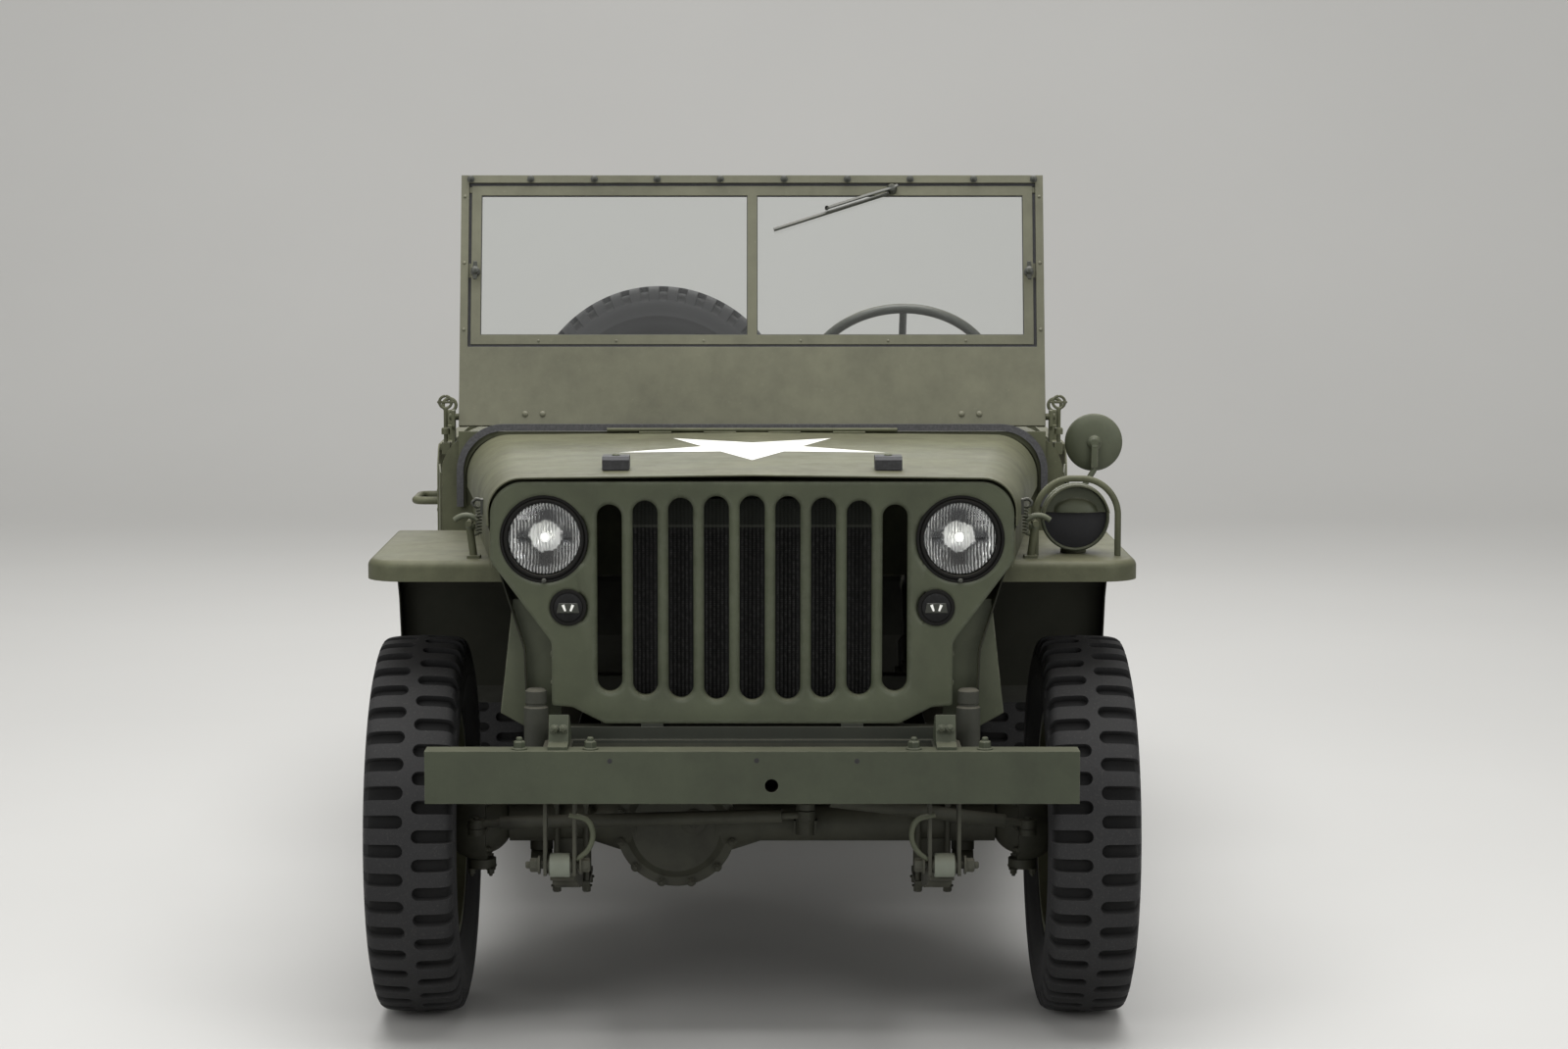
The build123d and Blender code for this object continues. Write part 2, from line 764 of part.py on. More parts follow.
face_y = guard_y + 1
bucket = lamp_bucket(headlamp_hole - 0.6, headlamp_depth, 4)
aim = Pos(headlamp_x, face_y, headlamp_z) * Rot(0, 0, 90)
nodes["headlamp_lenses"] = twin(aim * (Pos(8, 0, 0) * lens(lens_radius + 1, 9)))
marker_case = rod((marker_x, guard_y + 3, marker_z), (marker_x, guard_y + 48, marker_z), marker_radius)
marker_ring = rod((marker_x, guard_y - 2, marker_z), (marker_x, guard_y + 4, marker_z), marker_radius)
marker_hole = rod((marker_x, guard_y - 6, marker_z), (marker_x, guard_y, marker_z), marker_radius - 6)
nodes["front_lamps"] = twin(aim * bucket + (marker_case + marker_ring - marker_hole))

# radiator with its tanks, and the engine as one plain block
radiator_y = guard_y + guard_flange + 22
core = bar(-222, 222, radiator_y, radiator_y + 48, 628, 936)
top_tank = bar(-230, 230, radiator_y - 6, radiator_y + 54, 936, 1002)
low_tank = bar(-230, 230, radiator_y - 6, radiator_y + 54, 572, 628)
filler = rod((0, radiator_y + 24, 1000), (0, radiator_y + 24, 1022), 26)
nodes["radiator"] = core + top_tank + low_tank + filler

block = bar(-132, 132, -1250, -745, 590, 872)
head = bar(-112, 70, -1242, -750, 872, 925)
pan = bar(-105, 105, -1080, -745, 505, 590)
pulley = rod((0, -1272, 700), (0, -1250, 700), 78)
manifold = bar(-185, -132, -1190, -800, 760, 830)
mounts = bar(-rail_inner - 2, rail_inner + 2, -1060, -1010, 592, 618)
feet = twin(bar(rail_x - 24, rail_x + 8, -1064, -1006, horn_top + seat_gap, 606))
nodes["engine_block"] = block + head + pan + pulley + manifold + mounts + feet

# gearbox and transfer case on the middle cross-member
gear_y = -745 + seat_gap
bell_house = Pos(0, gear_y + 55, 640) * (Rot(90, 0, 0) * Cone(112, 150, 110))
gear = bar(-88, 88, gear_y + 105, -300, 545, 700)
transfer = bar(-215, 88, -300, -150, 423.3, 690)
outputs = rod((diff_x, -345, output_z), (diff_x, -105, output_z), 40)
boot = bar(-88, 88, -590, -530, 502, 546)
stick = rod((0, -420, 695), (10, -360, 930), 8)
knob = Pos(10, -360, 940) * Sphere(22)
levers = rod((40, -262, 688), (52, -242, 880), 6) + rod((72, -262, 688), (84, -242, 880), 6)
nodes["gearbox"] = bell_house + gear + transfer + outputs + boot + stick + knob + levers


# propeller shafts with a joint at each end
def shaft(start, end):
    a = Vector(*start)
    b = Vector(*end)
    way = (b - a).normalized()
    made = rod(a + way * 5, b - way * 5, 24)
    made = made + rod(a, (start[0], start[1] + 12, start[2]), 36)
    made = made + rod(a + way * 16, a + way * 62, 30)
    made = made + rod(b - way * 62, b - way * 16, 30)
    return made + rod((end[0], end[1] - 12, end[2]), b, 36)


nose = 150
front_shaft = shaft((diff_x, front_axle_y + nose + seat_gap, axle_z), (diff_x, -345 - seat_gap, output_z))
rear_shaft = shaft((diff_x, -105 + seat_gap, output_z), (diff_x, rear_axle_y - nose - seat_gap, axle_z))
nodes["propeller_shafts"] = front_shaft + rear_shaft

# exhaust: pipe from the manifold down to a box under the right side
down_points = [
    (-160, -930, 759.7),
    (-160, -930, 610),
    (-250, -740, 392),
    (-250, -440, 392),
    (-450, -340, 400),
    (-450, -236, 430),
]
down_pipe = bent_rod(down_points, 46, 19)
muffler = rod((-450, -240, 430), (-450, 240, 430), 58)
tail_points = [(-450, 236, 430), (-450, 320, 430), (-560, 428, 430), (-700, 428, 424)]
tail = bent_rod(tail_points, 46, 17)
nodes["exhaust"] = down_pipe + muffler + tail


# body: plan line of the outer skin, narrower at the cowl than at the seats
def plan_line(inset, beyond=0):
    i = inset
    slope_x = (body_half - cowl_half) / (body_full_y - cowl_y)
    front = (cowl_half - i - slope_x * beyond, cowl_y - beyond)
    return [front, (body_half - i, body_full_y), (body_half - i, body_rear_y + beyond)]


def skin_x(y):
    share = (y - cowl_y) / (body_full_y - cowl_y)
    return cowl_half + (body_half - cowl_half) * min(share, 1)


def plan_prism(inset, z0, z1, beyond=0):
    right = plan_line(inset, beyond)
    left = [(-a, b) for a, b in reversed(right)]
    return plan_plate(right + left, z0, z1)


# everything on a side lies between these two, the second well outside the skin
within = 300
beyond_skin = body_half + 75
skin = plan_prism(0, 400, 1200) - plan_prism(body_wall, 390, 1210, 20)
side = [
    (cowl_y, body_low),
    (body_rear_y - body_wall, body_low + 22),
    (body_rear_y - body_wall, quarter_top),
    (262, quarter_top),
    (222, quarter_top - 60),
    (212, sill_z),
    (-190, sill_z),
    (-330, sill_z + 110),
    (dash_y, cowl_top - cowl_corner),
    (cowl_y, cowl_top - cowl_corner),
]
side_bends = [0, 0, 0, 34, 60, 60, 120, 60, 0, 0]
side_shape = side_plate(side, within, beyond_skin, side_bends)
arch = rod((within, rear_axle_y, arch_z), (beyond_skin, rear_axle_y, arch_z), arch_radius)
half_skin = skin & side_shape
left_side = half_skin - arch
lip_prism = plan_prism(body_wall - 1, quarter_top - 16, quarter_top)
lip_prism = lip_prism - plan_prism(26, quarter_top - 30, quarter_top + 10, 20)
lip = lip_prism & bar(within, beyond_skin, 268, body_rear_y - body_wall, quarter_top - 16, quarter_top)
step = plan_prism(body_wall - 1, sill_z - 14, sill_z) - plan_prism(40, sill_z - 30, sill_z + 10, 20)
step = step & bar(within, beyond_skin, -170, 200, sill_z - 20, sill_z + 5)
left_side = left_side + lip + step


# handles beside the load bed, two on each side
def side_handle(y, span, z):
    inner = body_half - 1
    points = [(inner, y - span / 2, z), (handle_x, y - span / 2, z)]
    points = points + [(handle_x, y + span / 2, z), (inner, y + span / 2, z)]
    return bent_rod(points, 22, handle_rod)


# sockets for the top bows, each with a ring screw on top
bracket_y = 410
socket_x = body_half - 14
bow = bar(socket_x - 10, socket_x + 10, bracket_y - 30, bracket_y + 30, quarter_top - 1, quarter_top + 34)
bow = bow + rod((socket_x, bracket_y, quarter_top + 30), (socket_x, bracket_y, quarter_top + 66), 6)
bow = bow + Pos(socket_x, bracket_y, quarter_top + 80) * (Rot(90, 0, 0) * Torus(15, 4))
left_side = left_side + side_handle(320, 150, handle_z) + side_handle(1350, 150, 700) + bow
nodes["body_sides"] = twin(left_side)

# rear panel with a rolled top edge
rear = bar(-body_half, body_half, body_rear_y - body_wall + seat_gap, body_rear_y, body_low + 22, quarter_top)
rear_lip = bar(
    -body_half + 30, body_half - 30, body_rear_y - 26, body_rear_y - 1, quarter_top - 16,
    quarter_top,
)

# floor: toe board, front floor, riser and load bed, all one folded sheet
floor_line = [
    (cowl_y + body_wall + 1, 760),
    (cowl_y + body_wall + 40, 640),
    (-440, floor_z),
    (riser_y, floor_z),
    (riser_y, bed_z),
    (body_rear_y - 30, bed_z),
]
under = [(a, b - 3) for a, b in floor_line]
under[0] = (floor_line[0][0], floor_line[0][1] - 12)
under[1] = (floor_line[1][0] - 1, floor_line[1][1] - 8)
under[3] = (riser_y + 3, floor_z - 3)
under[4] = (riser_y + 3, bed_z - 3)
floor = side_plate(floor_line + list(reversed(under)), -beyond_skin, beyond_skin)
floor = floor & plan_prism(body_wall + seat_gap, 400, 1200, 20)
wheel_room = twin(bar(house_x - 2, beyond_skin, house_front_y + 30, 1400, bed_z - 60, bed_z + 30))
tunnel_hole = bar(-232, 100, -620, -140, 505, 760)
floor = floor - wheel_room - tunnel_hole
tunnel_profile = [(-236, floor_z - 4), (-228, 712), (96, 712), (104, floor_z - 4)]
tunnel = front_plate(tunnel_profile, -604, -136)
tunnel_in = front_plate([(-233, floor_z - 6), (-225, 709), (93, 709), (101, floor_z - 6)], -610, -139)
lever_hole = bar(-14, 110, -440, -215, 700, 720)
column_hole = rod(on_column(500), on_column(720), column_radius + 4)
nodes["floor_pan"] = floor + (tunnel - tunnel_in - lever_hole) - column_hole

# wheel houses with the tool lockers behind them
house_points = [
    (house_front_y, floor_z + seat_gap),
    (house_front_y, house_top - 60),
    (house_front_y + 60, house_top),
    (body_rear_y - 32, house_top),
    (body_rear_y - 32, bed_z + seat_gap),
    (1330, bed_z + seat_gap),
    (1330, bed_z - 34),
    (house_front_y + 24, bed_z - 34),
    (house_front_y + 24, floor_z + seat_gap),
]
inner_points = [
    (house_front_y + 3, floor_z - 5),
    (house_front_y + 3, house_top - 61),
    (house_front_y + 61, house_top - 3),
    (1327, house_top - 3),
    (1327, bed_z - 40),
]
house = side_plate(house_points, house_x, body_half - body_wall - seat_gap)
house = house - side_plate(inner_points, house_x + 3, body_half + 10)
locker = bar(house_x + 3, body_half - body_wall - 3, 1333, body_rear_y - 35, bed_z + 3, house_top - 3)
nodes["wheel_houses"] = twin(house - locker)


# cowl: arched sheet from the firewall to the dash, with the seal along its front
def arch_outline(half, top, low, corner):
    return [(half, low), (half, top), (-half, top), (-half, low)], [0, corner, corner, 0]


cowl_low = cowl_top - cowl_corner - 26
shell_points, shell_bends = arch_outline(cowl_half - body_wall - 1, cowl_top, cowl_low, cowl_corner)
cowl = front_plate(shell_points, cowl_y + seat_gap, dash_y, shell_bends)
inner_shell, inner_bends = arch_outline(
    cowl_half - body_wall - 4, cowl_top - 3, cowl_low - 5, cowl_corner - 3,
)
cowl = cowl - front_plate(inner_shell, cowl_y + 4, dash_y + 5, inner_bends)
firewall = bar(
    -cowl_half + body_wall + 1, cowl_half - body_wall - 1, cowl_y + seat_gap, cowl_y + 3.5, 762,
    cowl_low + 5,
)
firewall = firewall - column_hole

# ears for the windshield hinge on the corners of the cowl
ear_x = shield_half + 8
ear_points = [
    (cowl_y + 1, 1030), (cowl_y + 34, 1030), (cowl_y + 22, shield_axis_z + 14),
    (cowl_y - 14, shield_axis_z + 14),
]
ear_points = ear_points + [(cowl_y - 14, cowl_top + 14), (cowl_y + 1, cowl_top + 6)]
ear = side_plate(ear_points, ear_x, ear_x + 6)
ear = ear + rod((shield_half + seat_gap, shield_y, shield_axis_z), (ear_x + 12, shield_y, shield_axis_z), 7)

# hood hinge: barrels in turn on the cowl and on the hood
hinge_z = hood_rear_top + hinge_radius + 0.5
hinge_y = hood_rear_y - 1
hinge_step = 66
hinge_count = 9
cowl_barrels = None
hood_barrels = None
for index in range(hinge_count):
    x = (index - (hinge_count - 1) / 2) * hinge_step
    x0 = x - hinge_step / 2 + seat_gap / 2
    x1 = x + hinge_step / 2 - seat_gap / 2
    barrel = rod((x0, hinge_y, hinge_z), (x1, hinge_y, hinge_z), hinge_radius)
    if index % 2 == 0:
        leaf = bar(x0, x1, hood_rear_y + 0.5, cowl_y + 14, hinge_z - 4.5, hinge_z - 3)
        leaf = leaf + bar(x0, x1, cowl_y + 1, cowl_y + 14, cowl_top - 1, hinge_z - 3)
        piece = barrel + leaf
        cowl_barrels = piece if cowl_barrels is None else cowl_barrels + piece
    else:
        leaf = bar(x0, x1, hood_rear_y - 20, hinge_y, hinge_z - 11, hinge_z - 3)
        piece = barrel + leaf
        hood_barrels = piece if hood_barrels is None else hood_barrels + piece
# square-cornered nose behind the seal, under the lower edge of the windshield
nose_front = cowl_y - seal_front + seal_depth + seat_gap
nose = front_plate(
    [(nose_half, seal_low), (nose_half, nose_top), (-nose_half, nose_top), (-nose_half, seal_low)],
    nose_front, cowl_y + 1,
)
nose_in, nose_bends = arch_outline(nose_half - 14, nose_top - 8, seal_low - 5, seal_corner - 14)
nose = nose - front_plate(nose_in, nose_front - 5, cowl_y + 5, nose_bends)
nodes["cowl"] = cowl + firewall + nose + twin(ear) + cowl_barrels

# rubber seal, an arch that stands proud of the hood all the way round
seal_out, seal_bends = arch_outline(seal_half, seal_top, seal_low, seal_corner)
seal_in, seal_in_bends = arch_outline(
    seal_half - seal_wall, seal_top - seal_wall, seal_low - 5, seal_corner - seal_wall,
)
seal = front_plate(seal_out, cowl_y - seal_front, cowl_y - seal_front + seal_depth, seal_bends)
seal = seal - front_plate(seal_in, cowl_y - seal_front - 5, cowl_y, seal_in_bends)
nodes["cowl_seal"] = seal

# instrument panel with five dials, and a grab rail for the passenger
panel_half = cowl_half - body_wall + 8
panel_shoulder = cowl_top - cowl_corner - 8
panel = bar(-panel_half, panel_half, dash_y + seat_gap, dash_y + 3, 872, panel_shoulder)
panel_arch, panel_bends = arch_outline(panel_half - 12, cowl_top - 4, panel_shoulder - 4, cowl_corner - 8)
panel = panel + front_plate(panel_arch, dash_y + seat_gap, dash_y + 3, panel_bends)
# dials: x, z, radius
dials = [(60, 965, 40), (-20, 985, 26), (-20, 925, 26), (140, 985, 26), (140, 925, 26)]
for x, z, radius in dials:
    panel = panel + rod((x, dash_y + 2, z), (x, dash_y + 9, z), radius)
panel = panel - rod(on_column(330), on_column(480), column_radius + 4)
rail_points = [
    (-240, dash_y + 2, 935), (-240, dash_y + 42, 935), (-520, dash_y + 42, 935),
    (-520, dash_y + 2, 935),
]
nodes["instrument_panel"] = panel + bent_rod(rail_points, 16, 8)


# fenders: flat top, rolled lip in front and outside, steep drop to the sill
fender_line = [
    (fender_front_y, fender_top),
    (fender_back_y, fender_top),
    (-772, 758),
    (-730, 640),
    (-700, 548),
    (cowl_y - 0.6, 500),
]


def follow(points, depth):
    moved = []
    count = len(points)
    for index in range(count):
        before = points[max(index - 1, 0)]
        here = points[index]
        after = points[min(index + 1, count - 1)]
        way_a = Vector(here[0] - before[0], here[1] - before[1]) if index > 0 else None
        way_b = Vector(after[0] - here[0], after[1] - here[1]) if index < count - 1 else None
        way_a = way_b if way_a is None else way_a
        way_b = way_a if way_b is None else way_b
        way_a = way_a.normalized()
        way_b = way_b.normalized()
        normal_a = Vector(-way_a.Y, way_a.X)
        normal_b = Vector(-way_b.Y, way_b.X)
        mean = (normal_a + normal_b).normalized()
        scale = depth / mean.dot(normal_a)
        moved.append((here[0] - mean.X * scale, here[1] - mean.Y * scale))
    return moved


def fender_body(inset, depth, inner_x):
    top = follow(fender_line, inset)
    top[0] = (fender_front_y + inset, fender_top - inset)
    low = follow(fender_line, depth)
    low[0] = (fender_front_y + inset, fender_top - depth)
    points = top + list(reversed(low))
    made = side_plate(points, inner_x, fender_half - inset)
    corner = made.edges().filter_by(Axis.Z).sort_by(Axis.Y)[0:2].sort_by(Axis.X)[-1]
    made = fillet(corner, fender_corner - inset)
    flat = [e for e in made.edges() if abs(e.center().Z - (fender_top - inset)) < 0.01]
    rim = [e for e in flat if e.center().X > inner_x + 1 and e.length > 5]
    outside = fender_half - inset - 1
    ahead = fender_front_y + fender_corner
    rim = [e for e in rim if e.center().X > outside or e.center().Y < ahead]
    return fillet(rim, fender_edge - inset)


outer = fender_body(0, fender_lip, fender_inner)
inner = fender_body(fender_wall, fender_lip + 12, fender_inner - 10)
fender = outer - inner
strip_low = fender_top - fender_wall
apron = [(apron_x, 612), (apron_x + 4, 730), (fender_inner + 6, strip_low), (fender_inner + 6, strip_low + 3)]
apron = apron + [
    (fender_inner, strip_low + 3), (fender_inner + 3, strip_low - 1), (apron_x + 1, 731),
    (apron_x - 3, 612),
]
apron_front = guard_y + guard_flange + seat_gap
apron_back = cowl_y - seat_gap
apron_sheet = front_plate(apron, apron_front, apron_back)
shelf = [
    (fender_inner, apron_front), (468, apron_front), (hood_rear_half - 6, apron_back),
    (fender_inner, apron_back),
]
shelf_sheet = plan_plate(shelf, strip_low, fender_top)
wall = [
    (463, apron_front), (468, apron_front), (hood_rear_half - 10, apron_back),
    (hood_rear_half - 13, apron_back),
]
hood_wall_strip = plan_plate(wall, fender_top - 1, 936)
left_fender = fender + apron_sheet + shelf_sheet + hood_wall_strip

# hood catches: a post on each fender with a T handle
post = rod((catch_x, catch_y, fender_top - 1), (catch_x + 8, catch_y, 942), 7)
post = post + rod((catch_x + 8, catch_y - 24, 945), (catch_x + 8, catch_y + 24, 945), 6)
post = post + bar(catch_x - 12, catch_x + 12, catch_y - 18, catch_y + 18, fender_top - 1, fender_top + 5)
nodes["front_fenders"] = twin(left_fender + post)


# hood: a ruled shell between the arch at the guard and the arch at the cowl
def hood_section(y, half, top, skirt, corner, inset):
    h = half - inset
    t = top - inset
    side_top = t - hood_crown
    points = [(h, top - skirt), (h, side_top), (0, t), (-h, side_top), (-h, top - skirt)]
    bends = [corner - inset, 0, corner - inset]
    line = FilletPolyline(*points, radius=bends)
    close = Line(line @ 0, line @ 1)
    return Plane.XZ.offset(-y) * make_face([*line.edges(), close])


hood_out = loft([
    hood_section(hood_front_y, hood_front_half, hood_front_top, hood_skirt_front, hood_corner, 0),
    hood_section(hood_rear_y, hood_rear_half, hood_rear_top, hood_skirt_rear, hood_rear_corner, 0),
], ruled=True)
hood_in = loft([
    hood_section(
        hood_front_y - 1, hood_front_half, hood_front_top, hood_skirt_front + 1, hood_corner,
        hood_wall,
    ),
    hood_section(
        hood_rear_y + 1, hood_rear_half, hood_rear_top, hood_skirt_rear + 1, hood_rear_corner,
        hood_wall,
    ),
], ruled=True)
hood = hood_out - hood_in
nodes["hood"] = hood + hood_barrels

hood_slope = (hood_rear_top - hood_front_top) / (hood_rear_y - hood_front_y)
rest_share = (rest_x - rest_width / 2) / hood_rear_half
rest_rear = rest_y + rest_length / 2
rest_z = hood_front_top + hood_slope * (rest_rear - hood_front_y) - hood_crown * rest_share + seat_gap
rest = bar(
    rest_x - rest_width / 2, rest_x + rest_width / 2, rest_y - rest_length / 2,
    rest_y + rest_length / 2, rest_z, rest_z + rest_height,
)
rest = chamfer(rest.edges().filter_by(Axis.X).group_by(Axis.Z)[-1], 6)
nodes["hood_rests"] = twin(rest)


# windshield, drawn upright at the origin with its hinge line along X, then leaned back
def lean(shape):
    return Pos(0, shield_y, shield_axis_z) * (Rot(-shield_rake, 0, 0) * shape)


below = shield_axis_z - shield_low
top_edge = shield_height - below
half_tube = shield_tube / 2
panel = bar(-shield_half, shield_half, -half_tube, -half_tube + shield_wall, -below, shield_panel - below)
rails = bar(-shield_half, shield_half, -half_tube, half_tube, top_edge - 16, top_edge)
rails = rails + bar(
    -shield_half, shield_half, -half_tube, half_tube, shield_panel - below - 14,
    shield_panel - below,
)
rails = rails + twin(bar(shield_half - 16, shield_half, -half_tube, half_tube, -below, top_edge))
rails = rails + bar(-shield_half, shield_half, -half_tube, half_tube - 6, -below, -below + 10)
nodes["windshield_frame"] = lean(panel + rails)

inner_low = shield_panel - below + inner_gap
inner_high = top_edge - 16 - inner_gap
inner_half = shield_half - 16 - inner_gap
swing = bar(-inner_half, inner_half, -6, 6, inner_low, inner_high)
pane_low = inner_low + inner_rail
pane_high = inner_high - inner_rail
pane_half = inner_half - inner_rail
pane = (bar_width / 2, pane_half, pane_low, pane_high)
window = twin(bar(pane[0], pane[1], -12, 12, pane[2], pane[3]))
groove_half = glass_wall / 2 + seat_gap
groove = twin(bar(pane[0] - 6, pane[1] + 6, -groove_half, groove_half, pane[2] - 6, pane[3] + 6))
swing = swing - window - groove
side_in = shield_half - 16 - seat_gap
arms = twin(bar(inner_half - 1, side_in, -5, 5, inner_high - 14, inner_high - 2))
pivots = twin(bar(inner_half - 1, side_in, -4, 4, pane_low + 120, pane_low + 150))
nodes["windshield_inner_frame"] = lean(swing + arms + pivots)
glass = twin(bar(pane[0] - 5, pane[1] + 5, -glass_wall / 2, glass_wall / 2, pane[2] - 5, pane[3] + 5))
nodes["windshield_glass"] = lean(glass)

wiper_x = 289
wiper_z = inner_high - 8
wiper = rod((wiper_x, -20, wiper_z), (wiper_x, -6.3, wiper_z), 12)
wiper = wiper + rod((wiper_x, -16, wiper_z), (wiper_x - 135, -14, wiper_z - 42), 3.5)
wiper = wiper + rod((wiper_x - 20, -12, wiper_z - 12), (wiper_x - 262, -10, wiper_z - 78), 4)
nodes["wiper"] = lean(wiper)


# seats: tube frames with a pad and a back, and a bench across the load bed
def seat_frame(x):
    half = seat_size / 2
    made = None
    for side in (-1, 1):
        edge_x = x + side * (half - 20)
        points = [
            (edge_x, seat_y + 150, floor_z + seat_gap),
            (edge_x, seat_y + 150, seat_z - 20),
            (edge_x, seat_y - 190, seat_z - 20),
            (edge_x, seat_y - 190, floor_z + seat_gap),
        ]
        loop = bent_rod(points, 40, seat_tube)
        made = loop if made is None else made + loop
    for y in (seat_y - 120, seat_y + 110):
        made = made + rod((x - half + 20, y, seat_z - 20), (x + half - 20, y, seat_z - 20), seat_tube - 2)
    hoop = [
        (x - half + 20, seat_y + 150, seat_z - 30),
        (x - half + 20, seat_y + 235, seat_z + back_height + 20),
        (x + half - 20, seat_y + 235, seat_z + back_height + 20),
        (x + half - 20, seat_y + 150, seat_z - 30),
    ]
    return made + bent_rod(hoop, 60, seat_tube)


def pad(x, y, z, sx, sy, sz, corner):
    block = Box(sx, sy, sz)
    return Pos(x, y, z) * fillet(block.edges(), corner)


# back sheet and back pad, square to a hoop that leans from (y0, z0) to (y1, z1)
def back_rest(x, y0, z0, y1, z1, width, height):
    tilt = -math.degrees(math.atan((y1 - y0) / (z1 - z0)))
    place = Pos(x, (y0 + y1) / 2, (z0 + z1) / 2) * Rot(tilt, 0, 0)
    rear_face = -seat_tube + 1
    sheet = place * Pos(0, rear_face - 1, 20) * Box(width, 3, height)
    front = rear_face - 2.5 - seat_gap - back_wall / 2
    return sheet, place * pad(0, front, 20, width - 50, back_wall, height - 10, 22)


cushion_z = seat_z - 20 + seat_tube + seat_gap + cushion_height / 2 - 0.9
cushion = pad(seat_x, seat_y - 40, cushion_z, seat_size - 10, 340, cushion_height, 22)
back_low = (seat_y + 150, seat_z - 30)
back_high = (seat_y + 235, seat_z + back_height + 20)
seat_sheet, seat_back = back_rest(seat_x, *back_low, *back_high, seat_size - 40, 240)

bench_y = 1010
bench_z = bed_z + 215
bench_half = house_x - 20
bench = None
for y in (bench_y - 150, bench_y + 170):
    points = [
        (-bench_half + 30, y, bed_z + seat_gap),
        (-bench_half + 30, y, bench_z - 20),
        (bench_half - 30, y, bench_z - 20),
        (bench_half - 30, y, bed_z + seat_gap),
    ]
    loop = bent_rod(points, 40, seat_tube)
    bench = loop if bench is None else bench + loop
for x in (-300, 0, 300):
    bench = bench + rod((x, bench_y - 150, bench_z - 20), (x, bench_y + 170, bench_z - 20), seat_tube - 2)
hoop = [
    (-bench_half + 30, bench_y + 170, bench_z - 30),
    (-bench_half + 30, bench_y + 235, bench_z + 250),
    (bench_half - 30, bench_y + 235, bench_z + 250),
    (bench_half - 30, bench_y + 170, bench_z - 30),
]
bench = bench + bent_rod(hoop, 60, seat_tube)
bench_pad_z = bench_z - 20 + seat_tube + seat_gap + cushion_height / 2
bench_pad = pad(0, bench_y - 25, bench_pad_z, 2 * bench_half - 20, 350, cushion_height, 22)
bench_low = (bench_y + 170, bench_z - 30)
bench_high = (bench_y + 235, bench_z + 250)
bench_sheet, bench_back = back_rest(0, *bench_low, *bench_high, 2 * bench_half - 60, 180)
nodes["seat_frames"] = twin(seat_frame(seat_x) + seat_sheet) + bench + bench_sheet
nodes["seat_cushions"] = twin(cushion + seat_back) + bench_pad + bench_back

# pedals on arms through the toe board
pedals = None
toe_a = floor_line[1]
toe_b = floor_line[2]
toe_tilt = math.degrees(math.atan2(toe_b[1] - toe_a[1], toe_b[0] - toe_a[0]))
# x, height of the pad
for x, z in ((410, 690), (268, 690), (195, 640)):
    foot_y = (toe_a[0] + toe_b[0]) / 2
    foot_z = (toe_a[1] + toe_b[1]) / 2
    foot = Pos(x, foot_y, foot_z) * Rot(toe_tilt, 0, 0) * Pos(0, 0, 3 + seat_gap) * Box(34, 46, 6)
    arm = rod((x, foot_y + 3, foot_z + 5), (x, -468, z), 7)
    plate = bar(x - 26, x + 26, -476, -466, z - 28, z + 28)
    one = foot + arm + plate
    pedals = one if pedals is None else pedals + one
nodes["pedals"] = pedals


# round mirror on a bent arm from the cowl
mirror_y = -560
foot_x = skin_x(mirror_y + 20) + seat_gap
arm_points = [
    (foot_x + 3, mirror_y, 930), (foot_x + 30, mirror_y, 930), (mirror_x, mirror_y, 975),
    (mirror_x, mirror_y + 14, mirror_z),
]
arm = bent_rod(arm_points, [12, 14], 6)
dish = Pos(mirror_x, mirror_y + 20, mirror_z) * (Rot(90, 0, 0) * Cylinder(mirror_radius, 12))
foot = bar(foot_x, foot_x + 5, mirror_y - 20, mirror_y + 20, 900, 960)
nodes["mirror"] = arm + dish + foot

# blackout driving lamp in its hoop on the left fender
case = Pos(blackout_x, blackout_y, blackout_z) * Rot(0, 0, 90)
cup = [
    (0, 58), (0, blackout_radius), (22, blackout_radius), (62, 48), (88, 22), (88, 0), (84, 0),
    (84, 18), (60, 43), (20, 56),
]
cup = revolve(face_of(cup), axis=Axis.X)
visor = Rot(0, 90, 0) * (Cylinder(blackout_radius, 34) - Cylinder(blackout_radius - 3, 40))
visor = (Pos(-16, 0, 0) * visor) & Pos(-20, 0, 60) * Box(60, 200, 100)
face = Pos(4, 0, 0) * (Rot(0, 90, 0) * Cylinder(58.5, 4))
stem = rod(
    (blackout_x, blackout_y + 34, fender_top + seat_gap),
    (blackout_x, blackout_y + 34, blackout_z - 40), 10,
)
base = rod(
    (blackout_x, blackout_y + 34, fender_top + seat_gap),
    (blackout_x, blackout_y + 34, fender_top + 7), 24,
)
lamp_on_stem = case * (cup + visor + face) + stem + base
hoop_points = [
    (blackout_x - 76, blackout_y - 30, fender_top + seat_gap),
    (blackout_x - 76, blackout_y - 30, blackout_z + 74),
    (blackout_x + 76, blackout_y - 30, blackout_z + 74),
    (blackout_x + 76, blackout_y - 30, fender_top + seat_gap),
]
nodes["blackout_lamp"] = lamp_on_stem + bent_rod(hoop_points, 68, 6)

# spare wheel carrier, rear bumperettes, towing hook, tail lamps
carrier_y = body_rear_y + seat_gap
carrier = Pos(spare_x, 0, spare_z) * bar(-60, 60, carrier_y - 1, carrier_y + 6, -190, 20)
spare_face = spare_y + disc_offset
carrier = carrier + rod((spare_x, carrier_y + 2, spare_z), (spare_x, spare_face - 0.3, spare_z), 78)
nodes["rear_panel"] = rear + rear_lip + carrier

